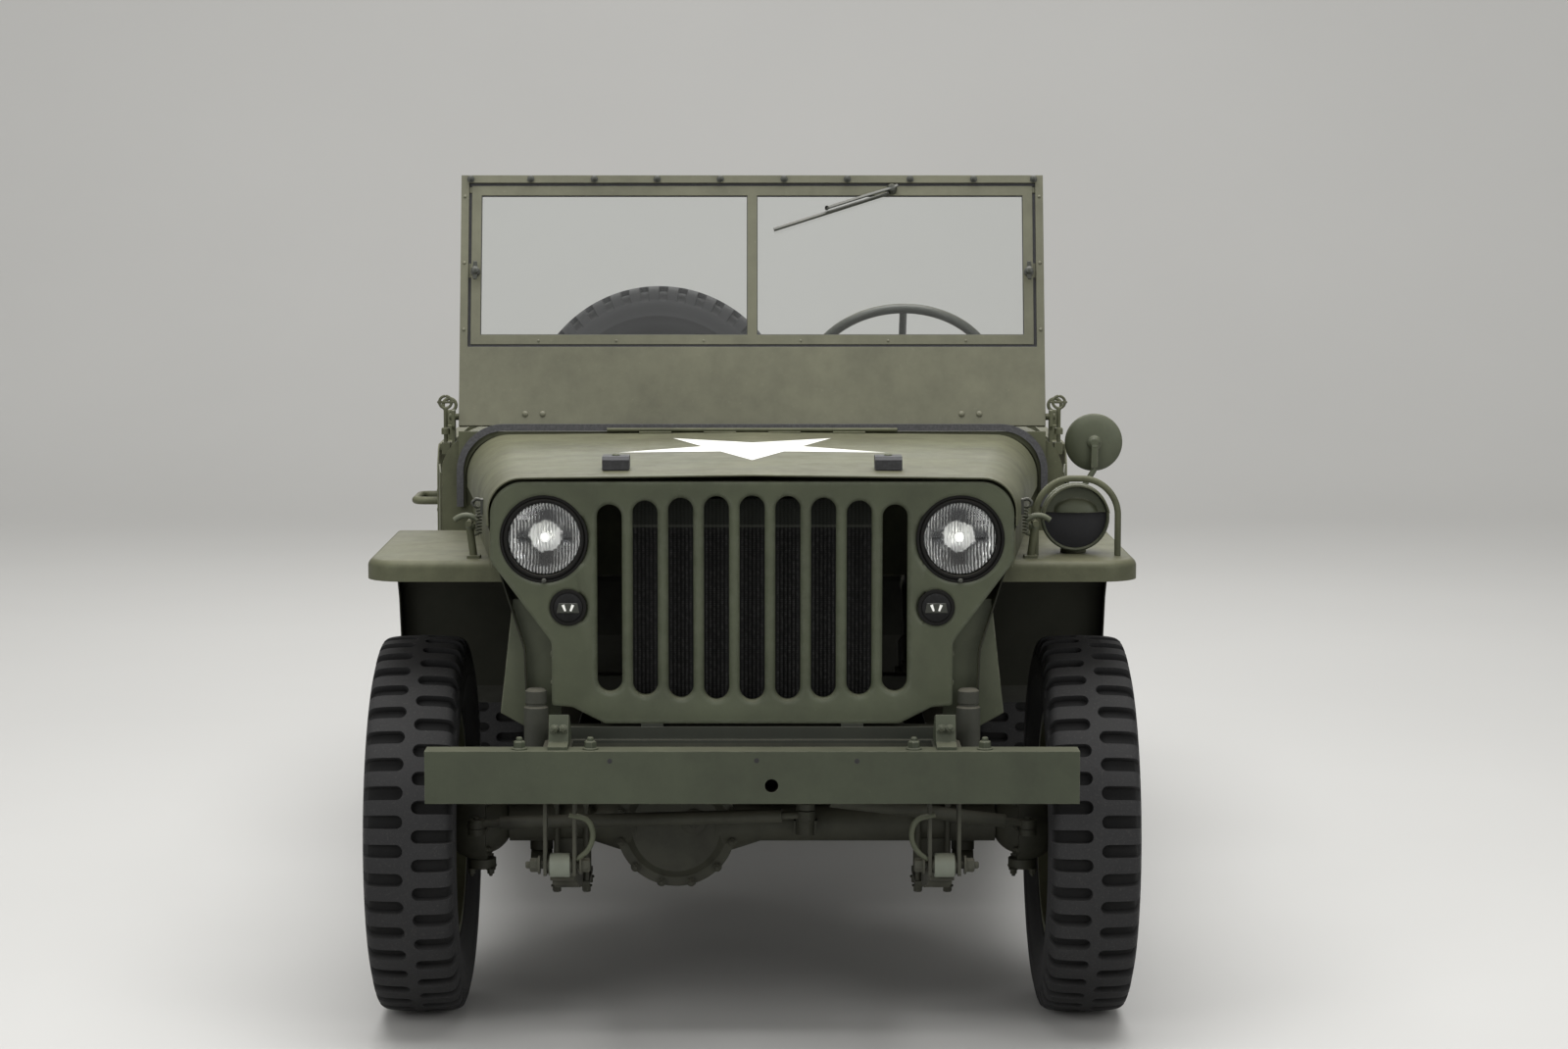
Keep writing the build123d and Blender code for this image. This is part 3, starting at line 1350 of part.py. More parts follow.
pieces = twin(bar(210, 470, 1540, 1548, 462, 566) + bar(330, 364, 1440.3, 1541, 480, 518))
hook = bar(-60, 60, 1425.3, 1480, 484, 518) + rod((0, 1478, 496), (0, 1520, 496), 22)
hook_body = [
    (1515, 472), (1560, 472), (1590, 497), (1590, 537), (1572, 537), (1572, 507), (1552, 494),
    (1552, 524), (1515, 524),
]
nodes["towing_fittings"] = pieces + hook + side_plate(hook_body, -18, 18)
lamp = rod((600, body_rear_y + 2, 720), (600, body_rear_y + 34, 720), 40)
lamp = lamp + rod((600, body_rear_y + seat_gap, 720), (600, body_rear_y + 4, 720), 26)
nodes["tail_lamps"] = twin(lamp)

os.makedirs("parts", exist_ok=True)
for name, shape in nodes.items():
    export_step(shape, "parts/" + name + ".step")
print(len(nodes), "nodes")
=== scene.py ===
import json
import math

import bmesh
import bpy
from mathutils import Matrix, Vector
from mathutils.bvhtree import BVHTree

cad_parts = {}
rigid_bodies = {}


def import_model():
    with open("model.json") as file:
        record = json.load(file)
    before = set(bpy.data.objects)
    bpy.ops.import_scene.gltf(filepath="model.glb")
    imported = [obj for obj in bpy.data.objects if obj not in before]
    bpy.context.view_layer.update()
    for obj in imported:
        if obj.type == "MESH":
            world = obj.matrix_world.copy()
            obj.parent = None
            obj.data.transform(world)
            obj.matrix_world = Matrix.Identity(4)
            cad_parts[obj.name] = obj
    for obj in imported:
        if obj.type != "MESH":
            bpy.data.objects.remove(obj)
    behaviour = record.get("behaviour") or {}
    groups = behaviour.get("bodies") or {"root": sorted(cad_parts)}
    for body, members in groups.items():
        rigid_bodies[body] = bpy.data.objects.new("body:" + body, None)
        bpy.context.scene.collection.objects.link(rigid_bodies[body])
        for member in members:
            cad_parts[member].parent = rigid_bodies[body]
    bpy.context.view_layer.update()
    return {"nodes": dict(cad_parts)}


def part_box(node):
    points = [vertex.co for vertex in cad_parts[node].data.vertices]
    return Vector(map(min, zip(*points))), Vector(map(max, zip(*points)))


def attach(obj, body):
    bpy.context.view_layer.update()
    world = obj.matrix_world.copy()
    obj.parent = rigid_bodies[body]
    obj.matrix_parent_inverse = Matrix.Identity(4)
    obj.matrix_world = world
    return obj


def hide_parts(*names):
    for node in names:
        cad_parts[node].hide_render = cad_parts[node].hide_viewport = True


# Olive army 4x4 car: looks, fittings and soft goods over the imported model.
# Metres, Z up, the front of the car faces -Y and its own left side is +X.

for leftover in list(bpy.data.objects):
    bpy.data.objects.remove(leftover)

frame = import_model()
cadNodes = frame["nodes"]
scene = bpy.context.scene
print("frame loaded:", len(cadNodes), "nodes")

toLeft, toRight = (1, 0, 0), (-1, 0, 0)
toBack, toFront = (0, 1, 0), (0, -1, 0)
toTop, toFloor = (0, 0, 1), (0, 0, -1)

# helpers for the meshes


def turnsOf(count, start=0.0):
    return [2 * math.pi * (step + start) / count for step in range(count)]


def mm(rows):
    # rows of pairs given in millimetres
    return [(a / 1000, b / 1000) for a, b in rows]


def turnedShape(profile, origin, along, count=32):
    # profile holds (distance along the axis, radius)
    along = Vector(along).normalized()
    side = along.orthogonal().normalized()
    across = along.cross(side)
    verts, rows, faces = [], [], []
    for distance, radius in profile:
        middle = Vector(origin) + along * distance
        turns = turnsOf(count, 0.5) if radius > 1e-6 else [0]
        rows.append(range(len(verts), len(verts) + len(turns)))
        for turn in turns:
            verts.append(middle + side * (radius * math.cos(turn)) + across * (radius * math.sin(turn)))
    for low, high in zip(rows, rows[1:]):
        for i in range(count):
            j = (i + 1) % count
            if len(low) > 1 and len(high) > 1:
                faces.append((low[i], low[j], high[j], high[i]))
            elif len(high) > 1:
                faces.append((low[0], high[j], high[i]))
            elif len(low) > 1:
                faces.append((low[i], low[j], high[0]))
    return verts, faces


def roundedRoute(points, bend, steps=5):
    points = [Vector(p) for p in points]
    route = [points[0]]
    for before, corner, after in zip(points, points[1:], points[2:]):
        reach = min(bend, (corner - before).length * 0.49, (after - corner).length * 0.49)
        start = corner + (before - corner).normalized() * reach
        end = corner + (after - corner).normalized() * reach
        for step in range(steps + 1):
            t = step / steps
            route.append(start * (1 - t) ** 2 + corner * 2 * t * (1 - t) + end * t ** 2)
    return route + [points[-1]]


def tubeShape(points, radius, count=10, flat=1.0):
    points = [Vector(p) for p in points]
    verts, faces = [], []
    side = (points[1] - points[0]).normalized().orthogonal().normalized()
    for i, point in enumerate(points):
        ahead = points[min(i + 1, len(points) - 1)] - points[max(i - 1, 0)]
        ahead.normalize()
        side = (side - ahead * side.dot(ahead)).normalized()
        across = ahead.cross(side)
        for turn in turnsOf(count):
            verts.append(point + side * (radius * math.cos(turn)) + across * (radius * flat * math.sin(turn)))
    last = (len(points) - 1) * count
    for low in range(0, last, count):
        for step in range(count):
            a, b = low + step, low + (step + 1) % count
            faces.append((a, b, b + count, a + count))
    faces.append(tuple(range(count - 1, -1, -1)))
    faces.append(tuple(range(last, last + count)))
    return verts, faces


def slabShape(outline, origin, right, up, thick):
    # a flat outline of (right, up) distances, made thick along right x up
    right, up = Vector(right).normalized(), Vector(up).normalized()
    out = right.cross(up).normalized()
    count = len(outline)
    back = [Vector(origin) + right * a + up * b for a, b in outline]
    front = [Vector(origin) + right * a + up * b + out * thick for a, b in outline]
    faces = [tuple(range(count)), tuple(range(2 * count - 1, count - 1, -1))]
    for i in range(count):
        j = (i + 1) % count
        faces.append((i, i + count, j + count, j))
    return front + back, faces


def blockShape(low, high):
    spans = list(zip(low, high))
    verts = [Vector((x, y, z)) for x in spans[0] for y in spans[1] for z in spans[2]]
    return verts, [(0, 1, 3, 2), (4, 6, 7, 5), (0, 4, 5, 1), (2, 3, 7, 6), (0, 2, 6, 4), (1, 5, 7, 3)]


def hexBolt(origin, along, size):
    # washer, head and shank; size is the width across the flats
    radius = size / 2 / math.cos(math.pi / 6)
    washer = [(-0.001, size * 0.75), (size * 0.12, size * 0.75), (size * 0.16, size * 0.6), (size * 0.16, 0)]
    head = [(size * 0.1, radius), (size * 0.7, radius), (size * 0.8, radius * 0.82), (size * 0.8, 0)]
    neck = size * 0.3
    shank = [(size * 0.5, neck), (size * 1.05, neck), (size * 1.15, size * 0.22), (size * 1.15, 0)]
    return [turnedShape(rows, origin, along, count) for rows, count in ((washer, 16), (head, 6), (shank, 12))]


def domeHead(origin, along, radius):
    rows = [(-0.0006, 1), (radius * 0.2, 1), (radius * 0.45, 0.75), (radius * 0.6, 0.35), (radius * 0.62, 0)]
    return [turnedShape([(distance, radius * share) for distance, share in rows], origin, along, 14)]


def bothSides(shapes):
    pairs = list(shapes)
    for verts, faces in shapes:
        pairs.append(([Vector((-v.x, v.y, v.z)) for v in verts], [tuple(reversed(f)) for f in faces]))
    return pairs


def linkData(name, data):
    item = bpy.data.objects.new(name, data)
    scene.collection.objects.link(item)
    return item


def smoothFaces(mesh):
    for face in mesh.polygons:
        face.use_smooth = True


def addPiece(name, shapes, material, body="chassis", edge=0.0, sharp=38):
    verts, faces = [], []
    for shapeVerts, shapeFaces in shapes:
        start = len(verts)
        verts.extend(shapeVerts)
        faces.extend(tuple(i + start for i in face) for face in shapeFaces)
    mesh = bpy.data.meshes.new(name)
    mesh.from_pydata([tuple(v) for v in verts], [], faces)
    work = bmesh.new()
    work.from_mesh(mesh)
    bmesh.ops.recalc_face_normals(work, faces=work.faces)
    if edge > 0:
        corners = [e for e in work.edges if len(e.link_faces) == 2 and e.calc_face_angle() > math.radians(35)]
        bmesh.ops.bevel(work, geom=corners, offset=edge, segments=2, affect="EDGES", clamp_overlap=True)
    work.to_mesh(mesh)
    work.free()
    smoothFaces(mesh)
    mesh.set_sharp_from_angle(angle=math.radians(sharp))
    mesh.materials.append(material)
    piece = linkData(name, mesh)
    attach(piece, body)
    return piece


def surfaceTree(mesh):
    return BVHTree.FromPolygons([v.co for v in mesh.vertices], [tuple(p.vertices) for p in mesh.polygons])


treeOf = {}


def touchFace(node, start, heading):
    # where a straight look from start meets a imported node, and the way the face there looks
    if node not in treeOf:
        treeOf[node] = surfaceTree(cadNodes[node].data)
    spot, normal = treeOf[node].ray_cast(Vector(start), Vector(heading))[:2]
    if spot and normal.dot(Vector(heading)) > 0:
        normal = -normal
    return spot, normal


def touchPoint(node, start, heading):
    return touchFace(node, start, heading)[0]


def touchPoints(node, starts, heading):
    spots = [touchPoint(node, start, heading) for start in starts]
    return [spot for spot in spots if spot]


# helpers for the shaders


def feed(tree, node, values):
    # each value is a socket to link from, a number or a colour
    for label, value in values.items():
        socket = node.inputs[label]
        if isinstance(value, bpy.types.NodeSocket):
            tree.links.new(value, socket)
        elif isinstance(value, tuple) and socket.type == "RGBA":
            socket.default_value = (*value[:3], 1)
        else:
            socket.default_value = value


def addNode(tree, kind, values=None, **settings):
    node = tree.nodes.new("ShaderNode" + kind)
    for label, value in settings.items():
        setattr(node, label, value)
    feed(tree, node, values or {})
    return node


def mathNode(tree, operation, first, second=None, clamp=False):
    values = {0: first} if second is None else {0: first, 1: second}
    return addNode(tree, "Math", values, operation=operation, use_clamp=clamp).outputs[0]


def plus(tree, first, second, clamp=False):
    return mathNode(tree, "ADD", first, second, clamp)


def times(tree, first, second, clamp=False):
    return mathNode(tree, "MULTIPLY", first, second, clamp)


def mixNode(tree, factor, first, second, blend="MIX"):
    values = {0: factor, 6: first, 7: second}
    return addNode(tree, "Mix", values, data_type="RGBA", blend_type=blend).outputs[2]


def objectCoords(tree):
    return addNode(tree, "TexCoord").outputs["Object"]


def splitNode(tree, vector):
    return addNode(tree, "SeparateXYZ", {0: vector}).outputs


def noiseNode(tree, scale, detail=4.0, rough=0.55, stretch=(1, 1, 1)):
    place = addNode(tree, "Mapping", {"Vector": objectCoords(tree), "Scale": stretch}).outputs[0]
    values = {"Vector": place, "Scale": scale, "Detail": detail, "Roughness": rough}
    return addNode(tree, "TexNoise", values).outputs["Fac"]


def waveNode(tree, axis, scale, distortion=0.0, detail=2.0):
    values = {"Vector": objectCoords(tree), "Scale": scale, "Distortion": distortion, "Detail": detail}
    return addNode(tree, "TexWave", values, wave_type="BANDS", bands_direction=axis).outputs["Fac"]


def rangeNode(tree, value, low, high, outLow=0.0, outHigh=1.0):
    values = {"Value": value, "From Min": low, "From Max": high, "To Min": outLow, "To Max": outHigh}
    return addNode(tree, "MapRange", values, clamp=True).outputs[0]


def bumpFrom(tree, shader, height, strength, distance, normal=None):
    values = {"Strength": strength, "Distance": distance, "Height": height}
    if normal is not None:
        values["Normal"] = normal
    feed(tree, shader, {"Normal": addNode(tree, "Bump", values).outputs[0]})


# shader groups that the materials share


def newGroup(name, inputs, outputs):
    group = bpy.data.node_groups.new(name, "ShaderNodeTree")
    for label, value in inputs.items():
        kind = "NodeSocketColor" if isinstance(value, tuple) else "NodeSocketFloat"
        socket = group.interface.new_socket(label, in_out="INPUT", socket_type=kind)
        socket.default_value = value
    for label, kind in outputs.items():
        group.interface.new_socket(label, in_out="OUTPUT", socket_type="NodeSocket" + kind)
    return group, group.nodes.new("NodeGroupInput").outputs, group.nodes.new("NodeGroupOutput")


def buildPaintTone():
    # uneven brushed paint: cloudy tone, faint drips, grime, specks and fine grain
    group, start, end = newGroup("paintTone", {"Color": (0.1, 0.1, 0.07, 1), "Cloud": 0.12, "Rough": 0.5},
                                 {"Color": "Color", "Roughness": "Float", "Height": "Float"})
    cloud = rangeNode(group, noiseNode(group, 2.6, 5, 0.6), 0.3, 0.7, -1, 1)
    streak = rangeNode(group, noiseNode(group, 9, 4, 0.6, (1, 1, 0.18)), 0.35, 0.7, -0.5, 0.5)
    grain = noiseNode(group, 260, 2, 0.5)
    grime = rangeNode(group, noiseNode(group, 15, 9, 0.72), 0.40, 0.70, 0.45, -0.95)
    specks = rangeNode(group, noiseNode(group, 110, 5, 0.7), 0.63, 0.72, 0, 1.5)
    both = plus(group, plus(group, cloud, streak), plus(group, grime, specks))
    gain = plus(group, times(group, both, start["Cloud"]), 1.0)
    toned = addNode(group, "VectorMath", operation="SCALE")
    feed(group, toned, {0: start["Color"], "Scale": gain})
    uneven = times(group, mathNode(group, "SUBTRACT", cloud, grime), 0.05)
    ripple = noiseNode(group, 38, 3, 0.5)
    height = plus(group, times(group, grain, 0.25), times(group, ripple, 0.75))
    rough = plus(group, start["Rough"], uneven)
    feed(group, end, {"Color": toned.outputs[0], "Roughness": rough, "Height": height})
    return group


def buildEdgeWearAndHighlight():
    # rubbed edges, and on the radiator guard also a painted highlight along the rounded bars: where a rounded
    # normal leaves the flat one
    group, start, end = newGroup("edgeWearAndHighlight", {"Width": 0.002, "Amount": 0.6, "Breakup": 45.0},
                                 {"Mask": "Float", "Normal": "Vector"})
    bevel = addNode(group, "Bevel", {"Radius": start["Width"]}, samples=4).outputs[0]
    flat = addNode(group, "NewGeometry").outputs["Normal"]
    dot = addNode(group, "VectorMath", {0: bevel, 1: flat}, operation="DOT_PRODUCT")
    edge = rangeNode(group, dot.outputs["Value"], 0.985, 0.86)
    patch = rangeNode(group, noiseNode(group, start["Breakup"], 5, 0.65), 0.42, 0.62)
    wornAndHighlit = times(group, times(group, edge, patch), start["Amount"], True)
    feed(group, end, {"Mask": wornAndHighlit, "Normal": bevel})
    return group


def buildSettledDust():
    # pale dust on faces that look up, and a little everywhere low down
    group, start, end = newGroup("settledDust", {"Amount": 0.4, "Low Line": 0.3}, {"Mask": "Float"})
    facing = splitNode(group, addNode(group, "NewGeometry").outputs["Normal"])
    upward = rangeNode(group, facing["Z"], 0.2, 1.0, 0.12, 1.0)
    spots = rangeNode(group, noiseNode(group, 11, 6, 0.65), 0.3, 0.75, 0.45, 1.0)
    drop = mathNode(group, "SUBTRACT", start["Low Line"], splitNode(group, objectCoords(group))["Z"])
    low = times(group, rangeNode(group, drop, -0.15, 0.3), 0.35)
    mask = times(group, plus(group, upward, low), spots)
    feed(group, end, {"Mask": times(group, mask, start["Amount"], True)})
    return group


def buildCanvasWeave():
    # crossing threads of a heavy canvas
    group, start, end = newGroup("canvasWeave", {"Threads": 620.0}, {"Height": "Float", "Shade": "Float"})
    scale = mathNode(group, "DIVIDE", start["Threads"], 6.283)
    waves = [waveNode(group, axis, scale, 0.6, 1.0) for axis in "XYZ"]
    height = mathNode(group, "MAXIMUM", mathNode(group, "MAXIMUM", waves[0], waves[1]), waves[2])
    shade = rangeNode(group, noiseNode(group, 14, 5, 0.6), 0.3, 0.7, 0.8, 1.15)
    feed(group, end, {"Height": height, "Shade": shade})
    return group


paintTone = buildPaintTone()
edgeWearAndHighlight = buildEdgeWearAndHighlight()
settledDust = buildSettledDust()
canvasWeave = buildCanvasWeave()

# materials


def placeGroup(tree, group, values):
    node = addNode(tree, "Group", node_tree=group)
    feed(tree, node, values)
    return node.outputs


def newMaterial(name, sockets):
    material = bpy.data.materials.new(name)
    material.use_nodes = True
    tree = material.node_tree
    tree.nodes.clear()
    shader = addNode(tree, "BsdfPrincipled", sockets)
    addNode(tree, "OutputMaterial", {0: shader.outputs[0]})
    return material, tree, shader


def paintedMetal(name, colour, rough=0.5, cloud=0.12, dust=0.4, dustColour=(0.30, 0.27, 0.19), wearAndHighlight=0.5,
                 wearAndHighlightColour=(0.20, 0.20, 0.15), edge=0.0016, lowLine=0.3, gloss=0.35):
    material, tree, shader = newMaterial(name, {"Specular IOR Level": gloss})
    tone = placeGroup(tree, paintTone, {"Color": colour, "Cloud": cloud, "Rough": rough})
    wornAndHighlit = placeGroup(tree, edgeWearAndHighlight, {"Width": edge, "Amount": wearAndHighlight})
    dusty = placeGroup(tree, settledDust, {"Amount": dust, "Low Line": lowLine})["Mask"]
    powdered = mixNode(tree, dusty, mixNode(tree, wornAndHighlit["Mask"], tone["Color"], wearAndHighlightColour), dustColour)
    dull = plus(tree, tone["Roughness"], times(tree, dusty, 0.25), True)
    feed(tree, shader, {"Base Color": powdered, "Roughness": dull})
    bumpFrom(tree, shader, tone["Height"], 0.35, 0.0006, wornAndHighlit["Normal"])
    return material


oliveBody = paintedMetal("oliveBody", (0.076, 0.080, 0.048), rough=0.52, cloud=0.22, dust=0.17,
                         dustColour=(0.25, 0.215, 0.135), gloss=0.20)
oliveFront = paintedMetal("oliveFront", (0.058, 0.066, 0.040), cloud=0.15, dust=0.2, wearAndHighlight=0.7, edge=0.004)
# the guard's pale edge band is partly wear and partly painted highlight along the rounded slot bars
guardPaint = paintedMetal("guardPaint", (0.055, 0.064, 0.037), rough=0.46, cloud=0.15, dust=0.2, wearAndHighlight=0.35,
                          edge=0.010, wearAndHighlightColour=(0.15, 0.16, 0.125))
oliveBumper = paintedMetal("oliveBumper", (0.039, 0.047, 0.028), rough=0.56, cloud=0.15, dust=0.18, wearAndHighlight=0.7)
oliveShield = paintedMetal("oliveShield", (0.106, 0.106, 0.072), rough=0.46, cloud=0.16, dust=0.25)
oliveChassis = paintedMetal("oliveChassis", (0.031, 0.033, 0.023), rough=0.6, cloud=0.3, dust=0.38,
                            lowLine=0.5, wearAndHighlight=0.6, wearAndHighlightColour=(0.12, 0.12, 0.09),
                            dustColour=(0.16, 0.145, 0.105))
oliveShadow = paintedMetal("oliveShadow", (0.030, 0.032, 0.024), rough=0.65, cloud=0.25,
                           dustColour=(0.18, 0.16, 0.12))
# near-black finish for faces inside the wheel arches: painted shade
oliveArchShade = paintedMetal("oliveArchShade", (0.016, 0.017, 0.012), rough=0.75, dust=0.2, wearAndHighlight=0.1, gloss=0.2)
# darker finish for the stone tray under the radiator guard: painted shade
trayShade = paintedMetal("trayShade", (0.022, 0.025, 0.018), rough=0.6, dust=0.12,
                         wearAndHighlightColour=(0.08, 0.08, 0.06))
darkPaint = paintedMetal("darkPaint", (0.022, 0.025, 0.019), rough=0.38, dust=0.25,
                         wearAndHighlightColour=(0.08, 0.08, 0.07), gloss=0.5)
lampBlack = paintedMetal("lampBlack", (0.006, 0.006, 0.006), rough=0.6, dust=0.1, wearAndHighlight=0.2,
                         wearAndHighlightColour=(0.03, 0.03, 0.03), gloss=0.12)
bushGreen = paintedMetal("bushGreen", (0.150, 0.168, 0.135), dust=0.3, wearAndHighlight=0.4)


def buildTyreRubber():
    material, tree, shader = newMaterial("tyreRubber", {"Specular IOR Level": 0.3})
    cloud = noiseNode(tree, 5, 6, 0.65)
    speckle = noiseNode(tree, 240, 3, 0.6)
    dusty = placeGroup(tree, settledDust, {"Amount": 0.3, "Low Line": 0.12})["Mask"]
    groove = addNode(tree, "Attribute", attribute_name="groove").outputs["Fac"]
    deep = mixNode(tree, rangeNode(tree, cloud, 0.3, 0.7), (0.012, 0.012, 0.013), (0.024, 0.024, 0.025))
    fleck = mixNode(tree, rangeNode(tree, speckle, 0.55, 0.75, 0, 0.4), deep, (0.060, 0.058, 0.054))
    dusted = mixNode(tree, dusty, fleck, (0.060, 0.057, 0.052))
    # groove floors turn near black: painted shade in the tread grooves
    feed(tree, shader, {"Base Color": mixNode(tree, groove, dusted, (0.004, 0.004, 0.004)),
                        "Roughness": rangeNode(tree, cloud, 0.2, 0.8, 0.72, 0.92)})
    bumpFrom(tree, shader, plus(tree, speckle, cloud), 0.5, 0.0008)
    return material


def buildRubber(name, colour, gloss=0.4):
    material, tree, shader = newMaterial(name, {"Specular IOR Level": gloss})
    speckle = noiseNode(tree, 180, 3, 0.6)
    pale = tuple(c * 1.7 for c in colour)
    feed(tree, shader, {"Base Color": mixNode(tree, rangeNode(tree, speckle, 0.4, 0.7), colour, pale),
                        "Roughness": rangeNode(tree, speckle, 0.2, 0.8, 0.5, 0.7)})
    bumpFrom(tree, shader, speckle, 0.3, 0.0004)
    return material


def buildMirrorGlass():
    material, tree, shader = newMaterial("mirrorGlass", {"Metallic": 1.0})
    colour = (0.88, 0.89, 0.9)
    patch = rangeNode(tree, noiseNode(tree, 30, 5, 0.6), 0.3, 0.7)
    feed(tree, shader, {"Base Color": mixNode(tree, patch, tuple(c * 0.85 for c in colour), colour),
                        "Roughness": plus(tree, times(tree, patch, 0.02), 0.01)})
    return material


def buildClearGlass():
    # glass lets lamps through, so that the seats behind it aren't in the dark
    material, tree, shader = newMaterial("clearGlass", {"Base Color": (0.93, 0.95, 0.94), "Roughness": 0.0,
                                                        "Transmission Weight": 1.0, "IOR": 1.46})
    clear = addNode(tree, "BsdfTransparent", {"Color": (0.92, 0.93, 0.92)})
    shadow = addNode(tree, "LightPath").outputs["Is Shadow Ray"]
    mix = addNode(tree, "MixShader", {0: shadow, 1: shader.outputs[0], 2: clear.outputs[0]})
    feed(tree, tree.nodes["Material Output"], {0: mix.outputs[0]})
    return material


def buildFlutedGlass():
    # pressed headlamp lens: upright flutes with a cross band
    material, tree, shader = newMaterial("flutedGlass", {"Base Color": (0.97, 0.98, 0.98), "Roughness": 0.03,
                                                         "Transmission Weight": 1.0, "IOR": 1.46})
    height = plus(tree, waveNode(tree, "X", 55), times(tree, waveNode(tree, "Z", 18), 0.3))
    bumpFrom(tree, shader, height, 0.25, 0.0012)
    return material


def buildSeatCanvas():
    material, tree, shader = newMaterial("seatCanvas", {"Specular IOR Level": 0.2, "Sheen Weight": 0.3,
                                                        "Sheen Roughness": 0.5})
    weave = placeGroup(tree, canvasWeave, {"Threads": 3200.0})
    dusty = placeGroup(tree, settledDust, {"Amount": 0.25, "Low Line": 0.2})["Mask"]
    shade = mixNode(tree, 1.0, (0.155, 0.142, 0.085), weave["Shade"], "MULTIPLY")
    feed(tree, shader, {"Base Color": mixNode(tree, dusty, shade, (0.3, 0.28, 0.2)),
                        "Roughness": rangeNode(tree, weave["Height"], 0, 1, 0.95, 0.82)})
    bumpFrom(tree, shader, weave["Height"], 0.4, 0.0004)
    return material


def buildCoreFins():
    # radiator core: fine upright tubes crossed by fins, with the tank and its bright strip above
    material, tree, shader = newMaterial("coreFins", {"Metallic": 0.4, "Specular IOR Level": 0.4})
    tubes = rangeNode(tree, waveNode(tree, "X", 44.0, 0.6, 3.0), 0.2, 0.6)
    fins = rangeNode(tree, waveNode(tree, "Z", 95.0, 0.3), 0.1, 0.8, 0.35, 1.0)
    both = times(tree, tubes, fins)
    height = splitNode(tree, objectCoords(tree))["Z"]
    tank = rangeNode(tree, height, 0.949, 0.951)
    grit = rangeNode(tree, noiseNode(tree, 160, 5, 0.7), 0.45, 0.7, 0.6, 2.4)
    clean = mixNode(tree, both, (0.003, 0.003, 0.003), (0.026, 0.026, 0.025))
    gritty = mixNode(tree, 1.0, clean, grit, "MULTIPLY")
    strip = times(tree, tank, rangeNode(tree, height, 0.956, 0.954))
    tankTone = mixNode(tree, strip, (0.016, 0.018, 0.014), (0.055, 0.058, 0.048))
    feed(tree, shader, {"Base Color": mixNode(tree, tank, gritty, tankTone),
                        "Roughness": rangeNode(tree, both, 0, 1, 0.8, 0.5)})
    bumpFrom(tree, shader, both, 0.8, 0.002)
    return material


def buildStarPaint():
    material, tree, shader = newMaterial("starPaint", {"Specular IOR Level": 0.35})
    cloud = noiseNode(tree, 16, 6, 0.65)
    fleck = rangeNode(tree, noiseNode(tree, 90, 5, 0.7), 0.66, 0.76, 0, 0.6)
    pale = mixNode(tree, rangeNode(tree, cloud, 0.3, 0.7), (0.62, 0.61, 0.56), (0.78, 0.77, 0.73))
    feed(tree, shader, {"Base Color": mixNode(tree, fleck, pale, (0.2, 0.2, 0.14)),
                        "Roughness": rangeNode(tree, cloud, 0.2, 0.8, 0.5, 0.65)})
    return material


def buildLampRed():
    material, tree, shader = newMaterial("lampRed", {"Roughness": 0.18, "Specular IOR Level": 0.5,
                                                     "Coat Weight": 0.5})
    ring = rangeNode(tree, noiseNode(tree, 120, 2, 0.5), 0.3, 0.7)
    feed(tree, shader, {"Base Color": mixNode(tree, ring, (0.2, 0.006, 0.004), (0.34, 0.012, 0.008))})
    return material


def buildGlow(name, colour, strength):
    return newMaterial(name, {"Base Color": colour, "Emission Color": colour, "Emission Strength": strength,
                              "Roughness": 0.3})[0]


tyreRubber = buildTyreRubber()
blackRubber = buildRubber("blackRubber", (0.022, 0.022, 0.024))
greySeal = buildRubber("greySeal", (0.045, 0.045, 0.048))
mirrorGlass = buildMirrorGlass()
clearGlass = buildClearGlass()
flutedGlass = buildFlutedGlass()
seatCanvas = buildSeatCanvas()
coreFins = buildCoreFins()
starPaint = buildStarPaint()
lampRed = buildLampRed()
bulbGlow = buildGlow("bulbGlow", (0.95, 0.95, 0.92), 0.75)
# faint glow on the marker lamp slits: painted highlight
slitPaintedGlint = buildGlow("slitPaintedGlint", (0.80, 0.80, 0.76), 0.12)
markerGrey = buildRubber("markerGrey", (0.010, 0.010, 0.010), 0.1)
nightGlass = buildRubber("nightGlass", (0.0075, 0.0075, 0.0095))
dialBlack = buildRubber("dialBlack", (0.012, 0.012, 0.012))
dialCream = buildRubber("dialCream", (0.42, 0.4, 0.3))
print("materials made:", len(bpy.data.materials))

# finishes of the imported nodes

finishes = [
    (guardPaint, "radiator_guard"), (oliveBumper, "front_bumper"), (blackRubber, "hood_rests"),
    (greySeal, "cowl_seal"), (clearGlass, "windshield_glass"), (lampBlack, "front_lamps"),
    (flutedGlass, "headlamp_lenses"), (coreFins, "radiator"), (oliveFront, "mirror"),
    (oliveShield, "windshield_frame windshield_inner_frame"), (oliveShadow, "floor_pan engine_block"),
    (darkPaint, "wiper steering_column steering_wheel pedals"),
    (oliveBody, "hood front_fenders cowl body_sides rear_panel wheel_houses instrument_panel seat_frames"),
    (oliveBody, "blackout_lamp tail_lamps spare_wheel wheel_front_left wheel_front_right wheel_rear_left"),
    (oliveBody, "wheel_rear_right"), (oliveChassis, "gearbox propeller_shafts exhaust frame leaf_springs"),
    (oliveChassis, "dampers spring_clamps front_axle rear_axle knuckle_left knuckle_right bell_crank"),
    (oliveChassis, "tie_rod_left tie_rod_right drag_link drop_arm towing_fittings"),
]
for finish, names in finishes:
    for name in names.split():
        cadNodes[name].data.materials.clear()
        cadNodes[name].data.materials.append(finish)

